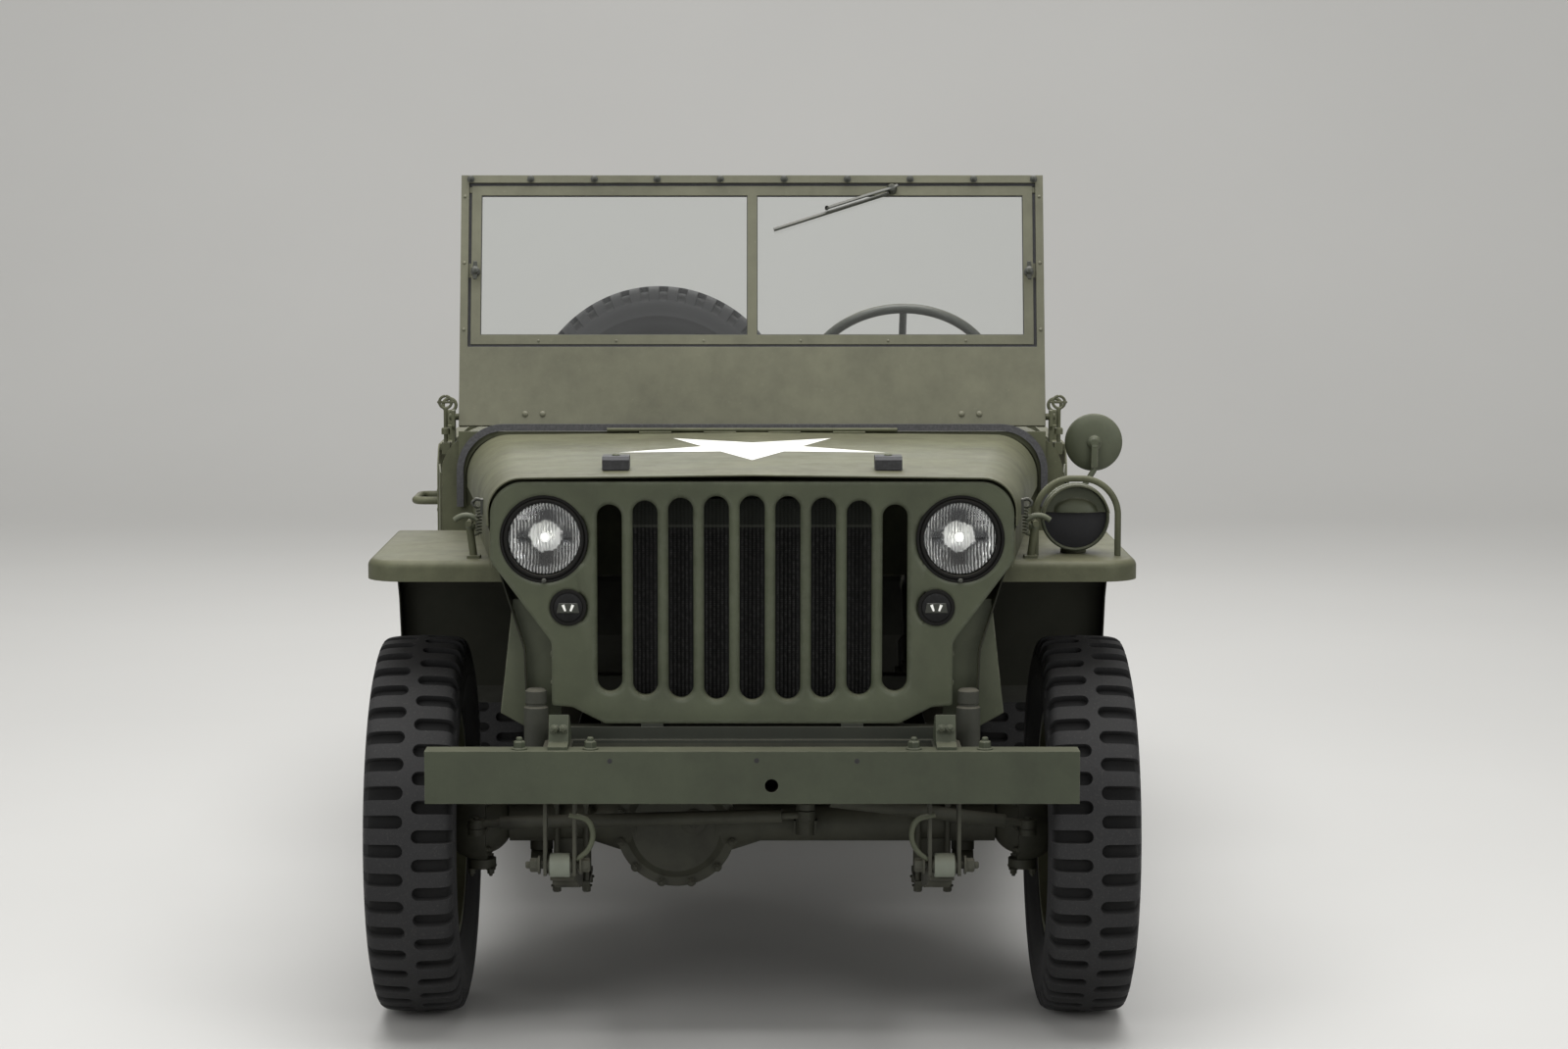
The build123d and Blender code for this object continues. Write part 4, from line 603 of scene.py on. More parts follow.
frontAxle, rearAxle, axleHeight = -1.19, 0.842, 0.356
for name, axleY in (("front_fenders", frontAxle), ("wheel_houses", rearAxle)):
    # faces that look into the wheel arches get a near-black finish: painted shade inside the arches
    mesh = cadNodes[name].data
    mesh.materials.append(oliveArchShade)
    for face in mesh.polygons:
        x, y, z = face.center
        outward = face.normal.x * (1 if x > 0 else -1)
        fromAxle = Vector((y - axleY, z - axleHeight))
        inward = -(face.normal.y * fromAxle.x + face.normal.z * fromAxle.y) / fromAxle.length
        arch = inward > 0.25 or (abs(x) > 0.690 and outward < -0.5)
        arch = arch or (abs(x) < 0.46 and face.normal.y < -0.9)
        if arch and z < 0.879 and fromAxle.length < 0.62:
            face.material_index = 1

# the stone tray under the radiator guard gets a darker finish than the frame that carries it: painted shade
# under the guard
mesh = cadNodes["frame"].data
mesh.materials.append(trayShade)
for face in mesh.polygons:
    if face.center.y < -1.485 and face.center.z > 0.565:
        face.material_index = 1

# tyres with staggered bar lugs

tyreMake = {
    "outerRadius": 0.356, "lugPairs": 42, "grooveHalf": 0.0128, "grooveStart": 0.0075, "grooveRound": 0.012,
    "grooveDepth": 0.013, "wall": 0.0016,
}


def tyreRows():
    # (sideways, radius, share of the groove depth, how much of the push goes sideways)
    edge, outer = tyreMake["grooveStart"], tyreMake["outerRadius"]
    tread = [(0, 0, 0), (0.004, 0, 0), (edge, 0, 0), (edge + 0.0016, 0.0001, 0), (edge + 0.0042, 0.0002, 0),
             (edge + 0.008, 0.0003, 0), (edge + 0.012, 0.0005, 0), (0.026, 0.0006, 0), (0.038, 0.0010, 0),
             (0.050, 0.0018, 0), (0.060, 0.0030, 0), (0.066, 0.0044, 0.1), (0.0705, 0.0064, 0.25)]
    rows = [(x, outer - drop, 0.0 if x <= edge else 1.0, sideways) for x, drop, sideways in tread]
    rows += [(0.0745, 0.3465, 1.0, 0.5), (0.0775, 0.3400, 0.9, 0.7), (0.0795, 0.3320, 0.75, 0.85),
             (0.0805, 0.3250, 0.5, 1.0)]
    wall = [(0.0812, 0.3200), (0.0828, 0.3175), (0.0836, 0.3060), (0.0839, 0.2950), (0.0832, 0.2830),
            (0.0836, 0.2815),
            (0.0832, 0.2780), (0.0822, 0.2765), (0.0800, 0.2620), (0.0755, 0.2480), (0.0700, 0.2375),
            (0.0655, 0.2310),
            (0.0645, 0.2270), (0.0600, 0.2235), (0.0572, 0.2205), (0.0572, 0.207)]
    return rows + [(x, radius, 0.0, 1.0) for x, radius in wall]


def tyreShape(centre, axle):
    axle = Vector(axle)
    up = axle.orthogonal().normalized()
    across = axle.cross(up)
    pitch = 2 * math.pi / tyreMake["lugPairs"]
    metre = pitch * tyreMake["outerRadius"]
    half, wall, bend = tyreMake["grooveHalf"], tyreMake["wall"], tyreMake["grooveRound"]
    places = (-half, -(half - wall), -half * 0.35, half * 0.35, half - wall, half)
    lugs = range(tyreMake["lugPairs"])
    columns = [(lug, side, place) for lug in lugs for side in (0, 1) for place in places]
    rows = tyreRows()
    ladder = [(-x, r, d, s) for x, r, d, s in reversed(rows[1:])] + rows
    verts, faces, depths = [], [], []
    for x, radius, depth, sideways in ladder:
        side = 0 if x < 0 else 1
        inward = abs(x) - tyreMake["grooveStart"]
        span = 1.0
        if 0 <= inward < bend:
            span = max(0.16, math.sqrt(max(0.0, 1 - (1 - inward / bend) ** 2)))
        for lug, groove, place in columns:
            slide = place * (span if groove == side and inward >= 0 else 1.0)
            turn = (lug + groove * 0.5) * pitch + slide / metre * pitch
            low = abs(place) < half - wall * 0.5
            push = tyreMake["grooveDepth"] * depth if groove == side and low else 0.0
            reach = radius - push * math.sqrt(1 - sideways ** 2 * 0.9)
            shift = x - math.copysign(push * sideways * 0.55, x)
            ray = up * math.cos(turn) + across * math.sin(turn)
            verts.append(Vector(centre) + axle * shift + ray * reach)
            depths.append(min(1.0, push / tyreMake["grooveDepth"]))
    count = len(columns)
    for row in range(len(ladder)):
        low, high = row * count, (row + 1) % len(ladder) * count
        for i in range(count):
            j = (i + 1) % count
            faces.append((low + i, low + j, high + j, high + i))
    return (verts, faces), depths


def addTyre(name, centre, axle, body, node):
    shape, depths = tyreShape(centre, axle)
    tyre = addPiece(name, [shape], tyreRubber, body, sharp=32)
    # the groove attribute marks how deep each point sits in a groove, for the painted shade there
    tyre.data.attributes.new("groove", "FLOAT", "POINT").data.foreach_set("value", depths)
    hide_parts(node)


trackHalf = 0.6225
wheelSpots = {
    "front_left": ((trackHalf, frontAxle, axleHeight), toLeft),
    "front_right": ((-trackHalf, frontAxle, axleHeight), toRight),
    "rear_left": ((trackHalf, rearAxle, axleHeight), toLeft),
    "rear_right": ((-trackHalf, rearAxle, axleHeight), toRight),
}
for spot, (centre, out) in wheelSpots.items():
    addTyre("tread_" + spot, centre, out, "wheel_" + spot, "tyre_" + spot)
spareCentre = (-0.25, 1.596, 0.930)
addTyre("tread_spare", spareCentre, toBack, "chassis", "spare_tyre")
print("tyres done")

# wheel nuts, hub bolts and valves

wheelFittings = {"nutCircle": 0.070, "nutSize": 0.024, "nuts": 5, "hubCircle": 0.031, "hubSize": 0.011,
                 "hubBolts": 6,
                 "valveCircle": 0.176, "valveTurn": 0.9}


def wheelFit(centre, out, node, withHub):
    centre, out, up = Vector(centre), Vector(out), Vector(toTop)
    across = out.cross(up)

    def ray(turn):
        return across * math.sin(turn) + up * math.cos(turn)

    shapes = []
    for turn in turnsOf(wheelFittings["nuts"]):
        place = centre + ray(turn) * wheelFittings["nutCircle"] + out * 0.033
        shapes += hexBolt(place, out, wheelFittings["nutSize"])[:2]
    if withHub:
        places = [centre + ray(turn) * wheelFittings["hubCircle"] + out * 0.2
                  for turn in turnsOf(wheelFittings["hubBolts"], 0.5)]
        for spot in touchPoints(node, places, -out):
            shapes += hexBolt(spot, out, wheelFittings["hubSize"])
        cap = mm([(0, 17), (3, 17), (6, 14), (7, 0)])
        shapes.append(turnedShape(cap, centre + out * 0.0718, out, 24))
    aside = ray(wheelFittings["valveTurn"])
    for spot in touchPoints(node, [centre + aside * wheelFittings["valveCircle"] + out * 0.2], -out):
        stem = roundedRoute([spot - out * 0.002, spot + out * 0.012, spot + out * 0.026 - aside * 0.012],
                            0.01)
        shapes.append(tubeShape(stem, 0.0035, 10))
        cap = mm([(0, 4.8), (9, 4.8), (10, 3), (10, 0)])
        end = stem[-1] - stem[-2]
        shapes.append(turnedShape(cap, stem[-1] - end * 0.5, end, 12))
    return shapes


for spot, (centre, out) in wheelSpots.items():
    wheel = "wheel_" + spot
    addPiece("wheel_nuts_" + spot, wheelFit(centre, out, wheel, True), oliveChassis, wheel, sharp=30)
addPiece("wheel_nuts_spare", wheelFit(spareCentre, toBack, "spare_wheel", False), oliveBody, sharp=30)

# axles: cover bolts, filler plugs and knuckle bolts

axleFittings = {"coverX": -0.1435, "coverRing": 0.1085, "coverBolts": 12, "coverBolt": 0.013,
                "plugX": -0.1095,
                "plugZ": 0.368, "knuckleRing": 0.062, "knuckleBolts": 8, "knuckleBolt": 0.009,
                "kingpinX": 0.515,
                "kingpinBolt": 0.012}
shapes = []
for y, side in ((frontAxle, -1), (rearAxle, 1)):
    for turn in turnsOf(axleFittings["coverBolts"], 0.5):
        x = axleFittings["coverX"] + axleFittings["coverRing"] * math.cos(turn)
        z = axleHeight + axleFittings["coverRing"] * math.sin(turn)
        shapes += hexBolt((x, y + side * 0.045, z), (0, side, 0), axleFittings["coverBolt"])
    for rows, lift, count in ((mm([(0, 24), (4, 24), (6, 20), (6, 0)]), 0.0585, 20),
                              (mm([(4, 11), (14, 11), (15, 8), (15, 0)]), 0.0605, 4)):
        place = (axleFittings["plugX"], y + side * lift, axleFittings["plugZ"])
        shapes.append(turnedShape(rows, place, (0, side, 0), count))
addPiece("axle_cover_bolts", shapes, oliveChassis, sharp=30)

for label, side in (("left", 1), ("right", -1)):
    knuckle, ring = "knuckle_" + label, axleFittings["knuckleRing"]
    places = [(side * 0.40, frontAxle + ring * math.cos(turn), axleHeight + ring * math.sin(turn))
              for turn in turnsOf(axleFittings["knuckleBolts"])]
    shapes = []
    for spot in touchPoints(knuckle, places, (side, 0, 0)):
        shapes += hexBolt(spot, (-side, 0, 0), axleFittings["knuckleBolt"])
    for z, up in ((0.60, -1), (0.10, 1)):
        places = [(side * axleFittings["kingpinX"] + dx, frontAxle + dy, z)
                  for dx, dy in ((-0.018, -0.018), (0.018, -0.018), (-0.018, 0.018), (0.018, 0.018))]
        for spot in touchPoints(knuckle, places, (0, 0, up)):
            shapes += hexBolt(spot, (0, 0, -up), axleFittings["kingpinBolt"])
    addPiece("knuckle_bolts_" + label, shapes, oliveChassis, knuckle, sharp=30)

# front bumper bolts and small holes

bumperFittings = {"bolts": (0.285, 0.41), "boltSize": 0.019, "frontBolts": (0.335, 0.349), "frontSize": 0.012,
                  "holes": ((0.0078, 0.559), (0.184, 0.558), (-0.25, 0.558)), "front": -1.68}
shapes = []
for x in bumperFittings["bolts"]:
    shapes += hexBolt(touchPoint("front_bumper", (x, -1.655, 0.8), toFloor), toTop,
                      bumperFittings["boltSize"])
for x in bumperFittings["frontBolts"]:
    spot, normal = touchFace("front_bumper", (x, -1.70, 0.606), toBack)
    shapes += hexBolt(spot, normal, bumperFittings["frontSize"])
addPiece("bumper_bolts", bothSides(shapes), oliveBumper, sharp=30)
shapes = [turnedShape(mm([(-0.4, 4.5), (0.2, 4.5), (0.2, 0)]), (x, bumperFittings["front"], z),
                      toFront, 16)
          for x, z in bumperFittings["holes"]]
addPiece("bumper_small_holes", shapes, dialBlack)

# radiator guard with rounded slots, its rivets and the plates beside its lower part

guardMake = {"round": 0.0065, "half": 0.31, "low": 0.625, "high": 1.03, "segments": 4,
             "rivets": (0.672, 0.725),
             "plateY": -1.476, "plateWall": 0.002}
shapes = []
for spot in touchPoints("radiator_guard", [(0.6, -1.511, z) for z in guardMake["rivets"]], toRight):
    shapes += domeHead(spot, toLeft, 0.0055)
addPiece("guard_rivets", bothSides(shapes), oliveFront, sharp=30)


def roundedGuard():
    # the sheet rolls inward round each slot, so its bars look round from the front
    source = cadNodes["radiator_guard"]
    work = bmesh.new()
    work.from_mesh(source.data)
    work.transform(source.matrix_world)
    bmesh.ops.remove_doubles(work, verts=work.verts, dist=0.00001)
    front = min(vert.co.y for vert in work.verts) + 0.0004

    def onSlots(co):
        return co.y < front and abs(co.x) < guardMake["half"] and guardMake["low"] < co.z < guardMake["high"]

    rims = [edge for edge in work.edges if all(onSlots(vert.co) for vert in edge.verts)
            and len(edge.link_faces) == 2 and edge.calc_face_angle(0) > 1.0]
    bmesh.ops.bevel(work, geom=rims, offset=guardMake["round"], segments=guardMake["segments"], profile=0.5,
                    affect="EDGES", clamp_overlap=False)
    work.verts.index_update()
    verts = [vert.co.copy() for vert in work.verts]
    faces = [tuple(vert.index for vert in face.verts) for face in work.faces]
    work.free()
    print("slot edges rounded:", len(rims))
    return verts, faces


guard = addPiece("rounded_guard", [roundedGuard()], guardPaint, sharp=32)
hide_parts("radiator_guard")
outline = [(0.345, 0.580), (0.413, 0.588), (0.456, 0.612), (0.4325, 0.820), (0.345, 0.820)]
plate = slabShape(outline, (0, guardMake["plateY"], 0), toLeft, toTop, guardMake["plateWall"])
addPiece("guard_side_plates", bothSides([plate]), oliveFront, edge=0.0006, sharp=30)

# front damper shells and the guide tube of the starting crank

shellMake = {"x": 0.389, "y": -1.520, "low": 0.462, "step": 0.632, "top": 0.663, "radius": 0.0218,
             "neck": 0.0192}
rise, tall = shellMake["step"] - shellMake["low"], shellMake["top"] - shellMake["low"]
wide, neck = shellMake["radius"], shellMake["neck"]
profile = [(0, 0), (0, wide), (rise - 0.003, wide), (rise, neck - 0.002), (rise + 0.004, neck - 0.002),
           (rise + 0.005, neck), (tall - 0.004, neck), (tall, neck - 0.005), (tall, 0)]
shell = turnedShape(profile, (shellMake["x"], shellMake["y"], shellMake["low"]), toTop, 28)
addPiece("front_damper_shells", bothSides([shell]), oliveShadow, sharp=40)

crankGuide = {"place": (0.034, -1.674, 0.514), "length": 0.070, "bore": 0.0125, "wall": 0.002}
long, bore, outside = crankGuide["length"], crankGuide["bore"], crankGuide["bore"] + crankGuide["wall"]
profile = [(0, bore), (0, outside), (long, outside), (long, 0), (long - 0.002, 0), (long - 0.002, bore),
           (0, bore)]
addPiece("crank_guide", [turnedShape(profile, crankGuide["place"], toBack, 28)], lampBlack, sharp=40)

# headlamps and marker lamps

lampMake = {"x": 0.373, "z": 0.933, "mouth": -1.5095, "rim": -1.5205, "screw": -1.5262, "bowlRadius": 0.0635,
            "bowlDepth": 0.052, "core": 0.028, "ring": 0.050, "flutes": 55.0}
markerMake = {"x": 0.330, "z": 0.810, "slitGap": 0.0068, "slitLean": 0.36}


def buildLampPaintedReflection():
    # reflector with painted reflections as the pressed lens breaks them up: bright middle, dark patches round
    # it, streaked rim
    material, tree, shader = newMaterial("lampPaintedReflection", {"Roughness": 0.16})
    parts = splitNode(tree, objectCoords(tree))
    side = mathNode(tree, "SUBTRACT", mathNode(tree, "ABSOLUTE", parts["X"]), lampMake["x"])
    rise = mathNode(tree, "SUBTRACT", parts["Z"], lampMake["z"])
    wobble = times(tree, mathNode(tree, "SUBTRACT", noiseNode(tree, 70, 3, 0.6), 0.5), 0.018)
    square = plus(tree, times(tree, side, side), times(tree, rise, rise))
    reach = plus(tree, mathNode(tree, "SQRT", square), wobble)
    core = rangeNode(tree, reach, lampMake["core"] + 0.002, lampMake["core"] - 0.002)
    rim = rangeNode(tree, reach, lampMake["ring"] - 0.002, lampMake["ring"] + 0.003)
    corner = rangeNode(tree, mathNode(tree, "ABSOLUTE", times(tree, side, rise)), 0.0003, 0.0008, 0, 0.75)
    flutes = waveNode(tree, "X", lampMake["flutes"], 2.5)
    streak = rangeNode(tree, flutes, 0.35, 0.6, 0.08, 1.0)
    outer = times(tree, mathNode(tree, "MAXIMUM", rim, corner), streak)
    bright = mathNode(tree, "MAXIMUM", core, outer, True)
    # white and near-black base colour: painted reflection pattern
    feed(tree, shader, {"Base Color": mixNode(tree, bright, (0.016, 0.017, 0.019), (0.97, 0.97, 0.96)),
                        "Metallic": rangeNode(tree, bright, 0, 1, 1.0, 0.55)})
    bumpFrom(tree, shader, flutes, 0.7, 0.0025)
    return material


deep, mouth = lampMake["bowlDepth"], lampMake["mouth"]
bowlRows = []
for step in range(13):
    depth = deep * step / 12
    bowlRows.append((depth, lampMake["bowlRadius"] * math.sqrt(max(0.02, 1 - depth / (deep * 1.04)))))
bowlRows.append((deep, 0))
bulbRows = mm([(10, 0), (12, 6), (16, 8.5), (22, 9), (28, 7), (40, 7)])
rimRows = mm([(0, 65.5), (-3.5, 66.5), (-4.5, 69), (-3.5, 71.5), (0, 72.5), (3, 72.5), (3, 65.5), (0, 65.5)])
for name, rows, y, count, finish, sharp in (
        ("headlamp_reflectors", bowlRows, mouth, 48, buildLampPaintedReflection(), 60),
        ("headlamp_bulbs", bulbRows, mouth, 20, bulbGlow, 60),
        ("headlamp_rims", rimRows, lampMake["rim"], 56, lampBlack, 50)):
    shapes = [turnedShape(rows, (side * lampMake["x"], y, lampMake["z"]), toBack, count) for side in (1, -1)]
    addPiece(name, shapes, finish, sharp=sharp)
shapes = []
for side in (1, -1):
    shapes += domeHead((side * lampMake["x"], lampMake["screw"], lampMake["z"] - 0.0745), toFront, 0.0045)
addPiece("headlamp_screws", shapes, darkPaint, sharp=30)

faces, windows, slits = [], [], []
windowLine = mm([(-20, -9.5), (20, -9.5), (20.5, -8), (17, 8.5), (-17, 8.5), (-20.5, -8)])
slitLine = mm([(-1.6, -6), (1.6, -6), (2.6, 6), (-2.6, 6)])
for side in (1, -1):
    x, z = side * markerMake["x"], markerMake["z"]
    y = min(touchPoint("front_lamps", (x, -1.7, z + 0.006), toBack).y, -1.5)
    rows = mm([(0, 26.2), (3, 25.5), (4.5, 23), (5, 0)])
    faces.append(turnedShape(rows, (x, y - 0.0005, z), toFront, 32))
    windows.append(slabShape(windowLine, (x, y - 0.0054, z), toLeft, toTop, 0.0012))
    for lean in (-1, 1):
        turn = -markerMake["slitLean"] * lean
        place = (x + lean * markerMake["slitGap"], y - 0.0066, z)
        right, up = (math.cos(turn), 0, math.sin(turn)), (-math.sin(turn), 0, math.cos(turn))
        slits.append(slabShape(slitLine, place, right, up, 0.0007))
addPiece("marker_lamp_faces", faces, markerGrey, sharp=40)
addPiece("marker_lamp_windows", windows, darkPaint, edge=0.0005, sharp=40)
addPiece("marker_lamp_slits", slits, slitPaintedGlint)

# windshield: studs, screws, seals, knobs, wiper and hold-downs

shieldMake = {
    "axis": (0.0, -0.600, 1.088), "rake": 13.4, "tubeFace": 0.010, "top": 0.505,
    "studs": (0.066, 0.197, 0.327, 0.4585, 0.5825), "innerLow": 0.150, "innerHigh": 0.483, "innerHalf": 0.580,
    "knob": (0.571, 0.302),
}
rake = math.radians(shieldMake["rake"])
shieldUp = Vector((0, math.sin(rake), math.cos(rake)))
shieldFront = Vector((0, -math.cos(rake), math.sin(rake)))


def onShield(x, front, height):
    return Vector(shieldMake["axis"]) + Vector((x, 0, 0)) + shieldFront * front + shieldUp * height


def shieldBlock(x0, x1, front0, front1, low, high):
    verts, faces = blockShape((x0, front0, low), (x1, front1, high))
    return [onShield(v.x, v.y, v.z) for v in verts], faces


face = shieldMake["tubeFace"]
rows = mm([(-1, 7.5), (1.5, 7.5), (2, 3.5), (7, 3), (7.5, 5.2), (10.5, 5.2), (11.5, 3), (11.5, 0)])
top = shieldMake["top"] - 0.008
studs = [turnedShape(rows, onShield(x, face, top), shieldFront, 14) for x in shieldMake["studs"]]
addPiece("windshield_top_studs", bothSides(studs), darkPaint, "windshield", sharp=35)

screwTable = [
    # x, front, height, radius
    (0.430, face, 0.004, 0.0062), (0.466, face, 0.004, 0.0062), (0.594, face, 0.18, 0.0035),
    (0.594, face, 0.32, 0.0035),
    (0.594, face, 0.46, 0.0035), (0.10, 0.006, 0.1575, 0.0028), (0.28, 0.006, 0.1575, 0.0028),
    (0.44, 0.006, 0.1575, 0.0028),
]
screws = []
for x, front, height, radius in screwTable:
    screws += domeHead(onShield(x, front, height), shieldFront, radius)
addPiece("windshield_screws", bothSides(screws), oliveShield, "windshield", sharp=30)

low, high, half = shieldMake["innerLow"], shieldMake["innerHigh"], shieldMake["innerHalf"]
strips = [shieldBlock(-0.586, 0.586, -0.004, 0.004, 0.1442, low - 0.0004),
          shieldBlock(-0.586, 0.586, -0.004, 0.004, high + 0.0004, 0.4888)]
strips += bothSides([shieldBlock(half + 0.0004, 0.5858, -0.0035, 0.003, low, high)])
addPiece("windshield_gap_seal", strips, blackRubber, "windshield")

edging = []
for left, right in ((0.010, 0.560), (-0.560, -0.010)):
    outline = [(left, low + 0.020), (right, low + 0.020), (right, high - 0.020), (left, high - 0.020)]
    for (x0, z0), (x1, z1) in zip(outline, outline[1:] + outline[:1]):
        edging.append(shieldBlock(min(x0, x1) - 0.0012, max(x0, x1) + 0.0012, -0.0042, 0.0042,
                                  min(z0, z1) - 0.0012, max(z0, z1) + 0.0012))
addPiece("windshield_glass_edging", edging, blackRubber, "windshield")

x, height = shieldMake["knob"]
place = onShield(x, 0.006, height)
rows = mm([(0, 10), (3, 10), (4, 6), (14, 5), (16, 8), (20, 8), (22, 4), (22, 0)])
outline = mm([(-4, -19), (4, -19), (5.5, 0), (4, 19), (-4, 19), (-5.5, 0)])
knobs = [turnedShape(rows, place, shieldFront, 16),
         slabShape(outline, place + shieldFront * 0.014, toLeft, shieldUp, 0.004)]
addPiece("windshield_swing_knobs", bothSides(knobs), darkPaint, "windshield", edge=0.0008, sharp=35)

wiperMake = {"pivot": (0.289, 0.476), "tip": (0.040, 0.392), "blade": 0.25}
x, z = wiperMake["pivot"]
armEnd = onShield(x - 0.135, 0.022, z - 0.043)
arm = [onShield(x + 0.012, 0.019, z + 0.006), onShield(x, 0.020, z), onShield(x - 0.05, 0.024, z - 0.016),
       armEnd]
tip = onShield(wiperMake["tip"][0], 0.011, wiperMake["tip"][1])
run = (tip - onShield(x - 0.008, 0.011, z - 0.006)).normalized()
start = onShield(x - 0.006, 0.014, z - 0.010)
rows = mm([(-4, 11), (6, 11), (10, 9), (16, 7), (17, 0)])
shapes = [turnedShape(rows, onShield(x, 0.006, z), shieldFront, 20), tubeShape(arm, 0.0042, 8, 0.55),
          tubeShape([start, start + run * 0.127, start + run * wiperMake["blade"]], 0.0042, 8, 0.8),
          turnedShape(mm([(-5, 4), (5, 4), (5, 0)]), armEnd, -shieldFront, 10)]
wiper = addPiece("wiper_arm", shapes, darkPaint, "windshield", sharp=40)
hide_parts("wiper")
rubber = start - shieldFront * 0.006
shapes = [tubeShape([rubber, rubber + run * wiperMake["blade"]], 0.0035, 6, 0.5)]
addPiece("wiper_rubber", shapes, blackRubber, "windshield")

clampMake = {"x": 0.630, "y": -0.600, "low": 1.030, "ring": 1.118, "ringRadius": 0.0125}
x, y, ring, radius = clampMake["x"], clampMake["y"], clampMake["ring"], clampMake["ringRadius"]
turns = turnsOf(20) + [2 * math.pi]
loop = [(x + radius * math.sin(turn), y, ring + radius * math.cos(turn)) for turn in turns]
shapes = [tubeShape([(x, y, clampMake["low"]), (x, y, ring - 0.011)], 0.0042, 10), tubeShape(loop, 0.0032, 8),
          tubeShape([(x - 0.017, y, ring), (x + 0.017, y, ring)], 0.003, 8),
          turnedShape(mm([(0, 9), (12, 9), (14, 6), (14, 0)]), (x, y, 1.052), toTop, 14),
          blockShape((x - 0.010, y - 0.008, 1.010), (x + 0.008, y + 0.008, 1.036))]
addPiece("windshield_hold_downs", bothSides(shapes), oliveBody, edge=0.001, sharp=40)
print("front and windshield fittings done")

# hood catches: crescent handle and coil spring on the fender, hook and rest bolts on the hood

catchMake = {"x": 0.526, "y": -1.353, "handleZ": 0.950, "half": 0.022, "rise": 0.009, "springX": 0.503,
             "springLow": 0.924, "springHigh": 0.977, "turns": 9, "coil": 0.0052}
x, y, springX, coilRadius = catchMake["x"], catchMake["y"], catchMake["springX"], catchMake["coil"]
crescent = [(x + catchMake["half"] * t, y, catchMake["handleZ"] + catchMake["rise"] * (1 - t * t))
            for t in [-1 + step / 4 for step in range(9)]]
coil = []
steps = catchMake["turns"] * 10
for step in range(steps + 1):
    turn = 2 * math.pi * step / 10
    height = catchMake["springLow"] + (catchMake["springHigh"] - catchMake["springLow"]) * step / steps
    coil.append((springX + coilRadius * math.cos(turn), y + coilRadius * math.sin(turn), height))
shapes = [tubeShape(crescent, 0.0058, 10, 0.8),
          turnedShape(mm([(0, 9), (6, 9), (9, 6), (9, 0)]), (x - 0.008, y, 0.935),
                      toTop, 16),
          tubeShape(coil, 0.0013, 6), tubeShape([(springX, y, 0.926), (x - 0.008, y, 0.920)], 0.0025, 8)]
addPiece("hood_catch_handles", bothSides(shapes), oliveFront, sharp=45)

side = touchPoint("hood", (0.9, y, 0.975), toRight).x
route = [(side - 0.002, y, 0.986), (springX + 0.004, y, 0.990), (springX + 0.012, y, 0.983),
         (springX + 0.008, y, 0.976), (springX, y, 0.976)]
shapes = [tubeShape(roundedRoute(route, 0.004, 4), 0.0032, 8),
          blockShape((side - 0.004, y - 0.014, 0.962), (side + 0.003, y + 0.014, 0.990))]
addPiece("hood_catch_hooks", bothSides(shapes), darkPaint, "hood", edge=0.0005, sharp=45)
low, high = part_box("hood_rests")
shapes = []
for spot in touchPoints("hood_rests", [(x, (low.y + high.y) / 2, 1.3) for x in (-0.248, 0.248)], toFloor):
    shapes += domeHead(spot, toTop, 0.0075)
addPiece("hood_rest_bolts", shapes, oliveFront, "hood", sharp=35)

# star painted on the hood

starMake = {"y": -0.985, "reach": 0.270, "inner": 0.382, "lift": 0.0007, "cells": 9, "weld": 0.0004}


def hoodStar():
    verts, faces, corners = [], [], []
    y, cells = starMake["y"], starMake["cells"]
    for step in range(10):
        reach = starMake["reach"] * (starMake["inner"] if step % 2 else 1.0)
        turn = math.pi * step / 5
        corners.append((reach * math.sin(turn), y - reach * math.cos(turn)))
    for one, two in zip(corners, corners[1:] + corners[:1]):
        index = {}
        for i in range(cells + 1):
            for j in range(cells + 1 - i):
                a, b = i / cells, j / cells
                place = (one[0] * a + two[0] * b, y * (1 - a - b) + one[1] * a + two[1] * b)
                index[i, j] = len(verts)
                height = touchPoint("hood", (*place, 1.4), toFloor).z + starMake["lift"]
                verts.append(Vector((*place, height)))
        for i in range(cells):
            for j in range(cells - i):
                faces.append((index[i, j], index[i + 1, j], index[i, j + 1]))
                if i + j < cells - 1:
                    faces.append((index[i + 1, j], index[i + 1, j + 1], index[i, j + 1]))
    return verts, faces


star = addPiece("hood_star", [hoodStar()], starPaint, "hood", sharp=80)
star.modifiers.new("join", "WELD").merge_threshold = starMake["weld"]

# blackout lamp and mirror

nightLamp = {"x": 0.600, "y": -1.290, "z": 0.950, "lens": 0.0575, "plate": 0.0565, "line": 0.0094,
             "dome": 0.042,
             "bulge": 0.014, "across": 24, "deep": 8}
x, z, lens = nightLamp["x"], nightLamp["z"], nightLamp["lens"]
face = touchPoint("blackout_lamp", (x, -1.6, z - 0.02), toBack).y
rows = [(-0.001, lens), (0.0015, lens), (0.004, 0.045), (0.006, 0.025), (0.0065, 0)]
addPiece("blackout_lamp_lens", [turnedShape(rows, (x, face, z), toFront, 48)], nightGlass, sharp=50)


